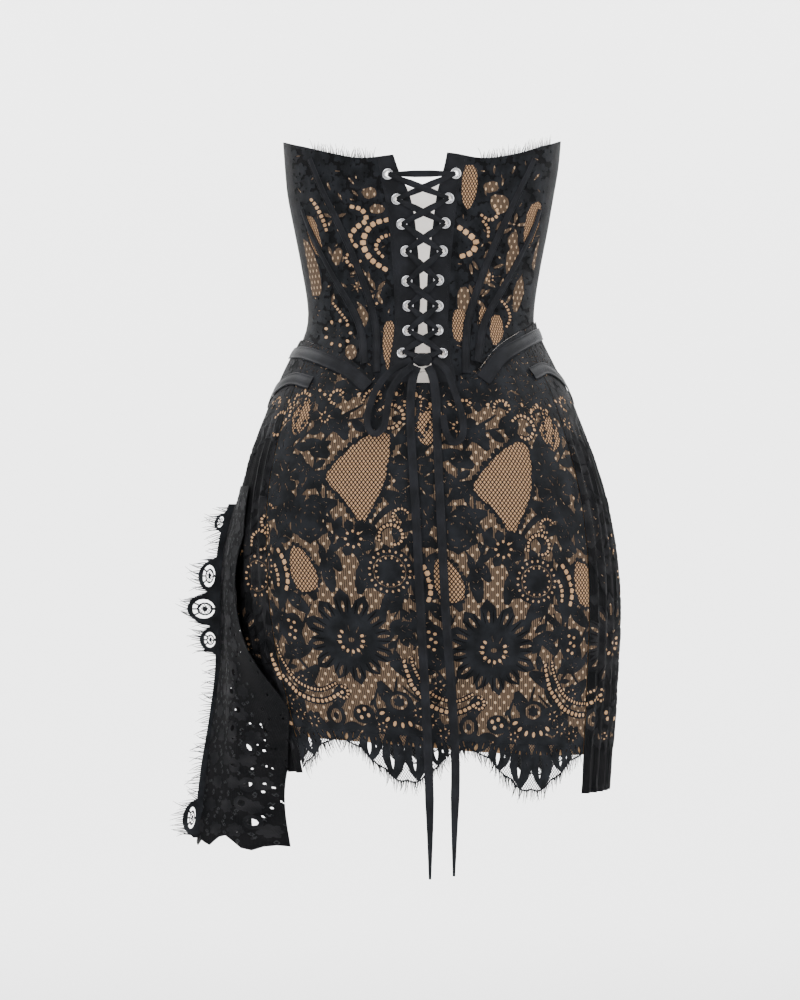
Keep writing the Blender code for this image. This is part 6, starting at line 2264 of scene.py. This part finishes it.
@dataclass
class Fall:
    """The long lace fall at the left side, with its scalloped lobes and threads."""

    width: float = 0.150
    back: float = -0.052
    front: float = 0.062
    folds: int = 3
    clear: float = 0.0070
    wrap: float = 0.034
    top: float = -0.168
    bottom: float = -0.522
    flounce_start: float = 0.0048
    flounce_top: float = -0.186
    flounce_bottom: float = -0.520

    def drape(self, across: float, height: float) -> Vector:
        """Point of the fall; across runs from 0 at its back edge to minus its width at the front."""
        share = min(max(-across / self.width, -0.3), 1.1)
        near, outer, far, fold = row_at(FALLS, round(height, 5))
        x = near * (1 - share) * (1 - 2 * share) + outer * 4 * share * (1 - share)
        x += far * share * (2 * share - 1)
        y = self.back + (self.front - self.back) * share
        left, right, back, front = row_at(RINGS, round(height, 5))
        half = (left + right) / 2
        share_out = 1 - abs(y / ((back if y < 0 else front) + self.clear)) ** ROUNDNESS
        side = (half + self.clear) * share_out ** (1 / ROUNDNESS)
        x = min(x, (right - left) / 2 - side)
        wave = 0.5 - 0.5 * math.cos(2 * math.pi * self.folds * max(share, 0.0))
        return Vector((x - fold * wave, y, height))

    def lobe_surface(self, across: float, height: float) -> Vector:
        """Point of the sheet that stands out to the left from the fall's outermost fold."""
        outer = row_at(FALLS, round(height, 5))[1]
        left, right = row_at(RINGS, round(height, 5))[:2]
        start = min(outer, (right - left) / 2 - (left + right) / 2 - self.clear)
        return Vector((start - self.flounce_start + across, 0.004 + 0.003 * math.sin(30 * height), height))

    def reach(self, height: float) -> float:
        """How far out the lobes' edge stands at a height."""
        reach = 0.0035
        for lobe in FLOUNCE:
            off = (height - lobe.height) / lobe.half
            if abs(off) < 1:
                reach = max(reach, lobe.reach * math.sqrt(1 - off * off))
        return reach

    def cloth(self) -> None:
        """Makes the fall's own cloth with its cut cells and rough lower edge."""
        arcs = [-self.width * index / 24 for index in range(25)]
        draw = random.Random(11)
        bottom = []
        for index, arc in enumerate(reversed(arcs)):
            ripple = 0.004 * math.sin(1.15 * index) - 0.003 * math.cos(0.55 * index) + draw.uniform(-0.0012, 0.0012)
            bottom.append((arc, self.bottom + ripple))
        sides = steps_between(self.top, self.bottom, 0.008)
        cut = [(arc, self.top) for arc in arcs] + [(-self.width, level) for level in sides]
        cut += bottom + [(self.wrap * math.exp(-(((level + 0.375) / 0.062) ** 2)), level) for level in reversed(sides)]
        lace = Pattern()
        for row in range(15):
            for column in range(7):
                x = -8 - 21 * column - 8 * (row % 2)
                y = -186 - 23 * row
                if x < -144:
                    continue
                lace.flower((x, y), 8.5, 7, 2, 40 * (row + column), heart=0, slits=False)
                for index in range(6):
                    place = turned((11.5, 0), 60 * index + 20 * row, (x, y))
                    lace.disc(place, 1.6, 2.4, Role.NET if index % 2 else Role.GROUND, 4, 60 * index, 6)
        holes = Pattern()
        for row in range(9):
            for line in (-16, -128):
                place = (line - 10 * (row % 2) + 3 * math.sin(2.0 * row), -352 - 18.5 * row)
                holes.disc(place, 2.4 + math.sin(row), 3.6, Role.HOLE, 9, 50 * row, 8)
                holes.disc(place, 6.0, 7.4, Role.THREAD, 8, sides=10)
        for _ in range(150):
            x, y = draw.choice((draw.uniform(-34, 24), draw.uniform(-148, -122))), draw.uniform(-512, -300)
            holes.cell((x, y), draw.uniform(0.6, 1.6), draw.uniform(0.6, 1.2), Role.HOLE, 7, draw.uniform(0, 180))
        drawn = [
            Shape(shape.role, shape.level, tuple((x * MILLI, y * MILLI) for x, y in shape.loop))
            for shape in lace.shapes + holes.shapes
        ]
        cloth = LaceCloth("fall_cloth", cut, self.drape, 0.0, 0.0008, drawn, 0.0003, 0.007, ground=Role.DENSE)
        piece = cloth.build([SHEER.material()] * 3 + [BAND_LACE.material()] * 2 + [DENSE.material()])
        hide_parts("side_drape")
        declare(cloth)

    def lobes(self) -> None:
        """Makes the scalloped lobes and their threads."""
        heights = [self.flounce_top, *steps_between(self.flounce_top, self.flounce_bottom, 0.0022)]
        heights.append(self.flounce_bottom)
        edge = [(-self.reach(height), height) for height in heights]
        cut = edge + [(self.flounce_start + 0.0006, height) for height in heights[::-2]]
        drawn = [Shape(Role.THREAD, 1, tuple(edge + [(arc + 0.0026, height) for arc, height in edge[::-1]]))]
        lace = Pattern()
        for lobe in FLOUNCE:
            wide, tall = (lobe.reach - lobe.wall - 0.0035) / MILLI, (lobe.half - lobe.wall) * 0.8 / MILLI
            if wide < 4:
                continue
            x, y = -3.2 - wide / 2, lobe.height / MILLI
            lace.disc((x, y), wide / 2, tall, Role.HOLE, 4, sides=16)
            lace.disc((x + wide * 0.06, y), wide * 0.36, tall * 0.68, Role.THREAD, 5, sides=14)
            lace.disc((x + wide * 0.06, y), wide * 0.26, tall * 0.52, Role.NET, 6, sides=12)
            lace.disc((x + wide * 0.06, y), wide * 0.12, tall * 0.28, Role.THREAD, 7, sides=9)
            for way in (-1, 0, 1):
                lace.band([(x - wide * 0.2, y + way * tall * 0.4), (x - wide * 0.55, y + way * tall * 0.75)], 1.6,
                          Role.THREAD, 5, ends=0.9)
            lace.band([(x + wide * 0.3, y), (x + wide * 0.55, y)], 2.4, Role.THREAD, 5, ends=0.9)
        drawn += [
            Shape(shape.role, shape.level, tuple((x * MILLI, y * MILLI) for x, y in shape.loop))
            for shape in lace.shapes
        ]
        cloth = LaceCloth("fall_lobes", cut, self.lobe_surface, 0.0, 0.0008, drawn, 0.0003, 0.005, ground=Role.THREAD)
        piece = cloth.build(lace_finishes(sheer=True))
        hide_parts("drape_flounce")
        declare(cloth)
        Threads(
            "fall_threads", "drape_fringe", edge[1:-1], (-1, 0), self.lobe_surface, 0.0160, 0.0022, 3, 0.0, 0.0007,
        ).build()

    def build(self) -> None:
        """Makes the fall."""
        self.cloth()
        self.lobes()


@dataclass
class TopEdge:
    """Eyelash threads that stand up from the lace at the upper edge."""

    length: float = 0.0118
    spacing: float = 0.0015

    def build(self) -> None:
        """Makes the threads at both sides of the laced back."""
        for word, (start, end) in TUFTS.items():
            arcs = steps_between(FORM.arc_of(start), FORM.arc_of(end), 0.006)
            edge = [(arc, top_edge(arc)) for arc in arcs]
            Threads(
                f"upper_threads_{word}", f"top_fringe_{word}", edge, (0, 1), FORM.skin, self.length, self.spacing,
                9, 0.0006,
            ).build()


@dataclass
class Studio:
    """Pale floor and backdrop, soft light, and the camera at the dress's back."""

    floor_height: float = -0.80
    reach: float = 6.0
    turn_radius: float = 1.2
    backdrop: float = 3.0
    lens: float = 108.0

    def set_floor(self) -> None:
        """Makes the floor and the backdrop as one curved sheet, clear from behind."""
        mesh = bmesh.new()
        line = [(-self.reach, self.floor_height), (self.backdrop - self.turn_radius, self.floor_height)]
        for index in range(1, 13):
            at = math.pi / 2 * index / 12
            line.append((
                self.backdrop - self.turn_radius + self.turn_radius * math.sin(at),
                self.floor_height + self.turn_radius * (1 - math.cos(at)),
            ))
        line.append((self.backdrop, self.floor_height + self.reach))
        rows = [[mesh.verts.new((x, y, z)) for x in (-self.reach, self.reach)] for y, z in line]
        for first, second in zip(rows, rows[1:]):
            mesh.faces.new((first[0], first[1], second[1], second[0]))
        data = bpy.data.meshes.new("floor")
        mesh.to_mesh(data)
        mesh.free()
        data.shade_smooth()
        floor = bpy.data.objects.new("floor", data)
        bpy.context.scene.collection.objects.link(floor)
        made, graph, shader = start_material("pale_floor", 0.9)
        noise = graph.node("ShaderNodeTexNoise")
        noise.inputs["Scale"].default_value = 2.0
        graph.join(place_of(graph, False), noise.inputs["Vector"])
        graph.put(shader.inputs["Base Color"], graph.mix(noise.outputs[0], shade(238, 238, 238), shade(241, 241, 241)))
        shader.inputs["Specular IOR Level"].default_value = 0.1
        sides = graph.node("ShaderNodeMixShader")
        graph.join(graph.node("ShaderNodeNewGeometry").outputs["Backfacing"], sides.inputs[0])
        graph.join(shader.outputs[0], sides.inputs[1])
        graph.join(graph.node("ShaderNodeBsdfTransparent").outputs[0], sides.inputs[2])
        graph.join(sides.outputs[0], graph.tree.nodes["Material Output"].inputs["Surface"])
        data.materials.append(made)

    def light(self, name: str, place: tuple[float, float, float], size: float, power: float,
              aim: tuple[float, float, float] = (0.0, 0.0, -0.15)) -> None:
        """Adds a soft light.

        Args:
            name: Its name.
            place: Where it stands.
            size: Its width.
            power: Its power in watts.
            aim: What it faces, the dress unless given.
        """
        lamp = bpy.data.lights.new(name, "AREA")
        lamp.size = size
        lamp.energy = power
        made = bpy.data.objects.new(name, lamp)
        made.location = place
        made.rotation_euler = (Vector(aim) - Vector(place)).to_track_quat("-Z", "Y").to_euler()
        bpy.context.scene.collection.objects.link(made)

    def build(self) -> None:
        """Sets the studio."""
        self.set_floor()
        world = bpy.data.worlds.new("studio")
        world.use_nodes = True
        world.node_tree.nodes["Background"].inputs["Color"].default_value = (1, 1, 1, 1)
        world.node_tree.nodes["Background"].inputs["Strength"].default_value = 0.75
        bpy.context.scene.world = world
        self.light("key", (-1.6, -2.6, 1.4), 1.6, 60)
        self.light("fill", (1.9, -2.2, 0.4), 2.0, 40)
        self.light("top", (0.2, -0.6, 2.4), 1.8, 35)
        self.light("backdrop_left", (-1.6, 1.0, 1.5), 1.5, 160, (-0.5, 3.0, -0.1))
        self.light("backdrop_right", (1.6, 1.0, 1.5), 1.5, 160, (0.5, 3.0, -0.1))
        lens = bpy.data.cameras.new("camera")
        lens.lens = self.lens
        lens.sensor_width = 36.0
        camera = bpy.data.objects.new("camera", lens)
        camera.location = (VIEW_ACROSS, -VIEW_DISTANCE, VIEW_HEIGHT)
        camera.rotation_euler = (math.pi / 2, 0, 0)
        bpy.context.scene.collection.objects.link(camera)
        bpy.context.scene.camera = camera


def main() -> None:
    """Builds the studio and the dress."""
    logging.basicConfig(level=logging.INFO, format="%(message)s")
    Studio().build()
    Bodice().build()
    Lacing().build()
    Skirt().build()
    Fall().build()
    TopEdge().build()
    added = sum(len(face.vertices) - 2 for piece in bpy.data.objects if piece.type == "MESH" and not piece.hide_render
                for face in piece.data.polygons)
    log.info("triangles shown: %d", added)


if __name__ == "__main__":
    main()
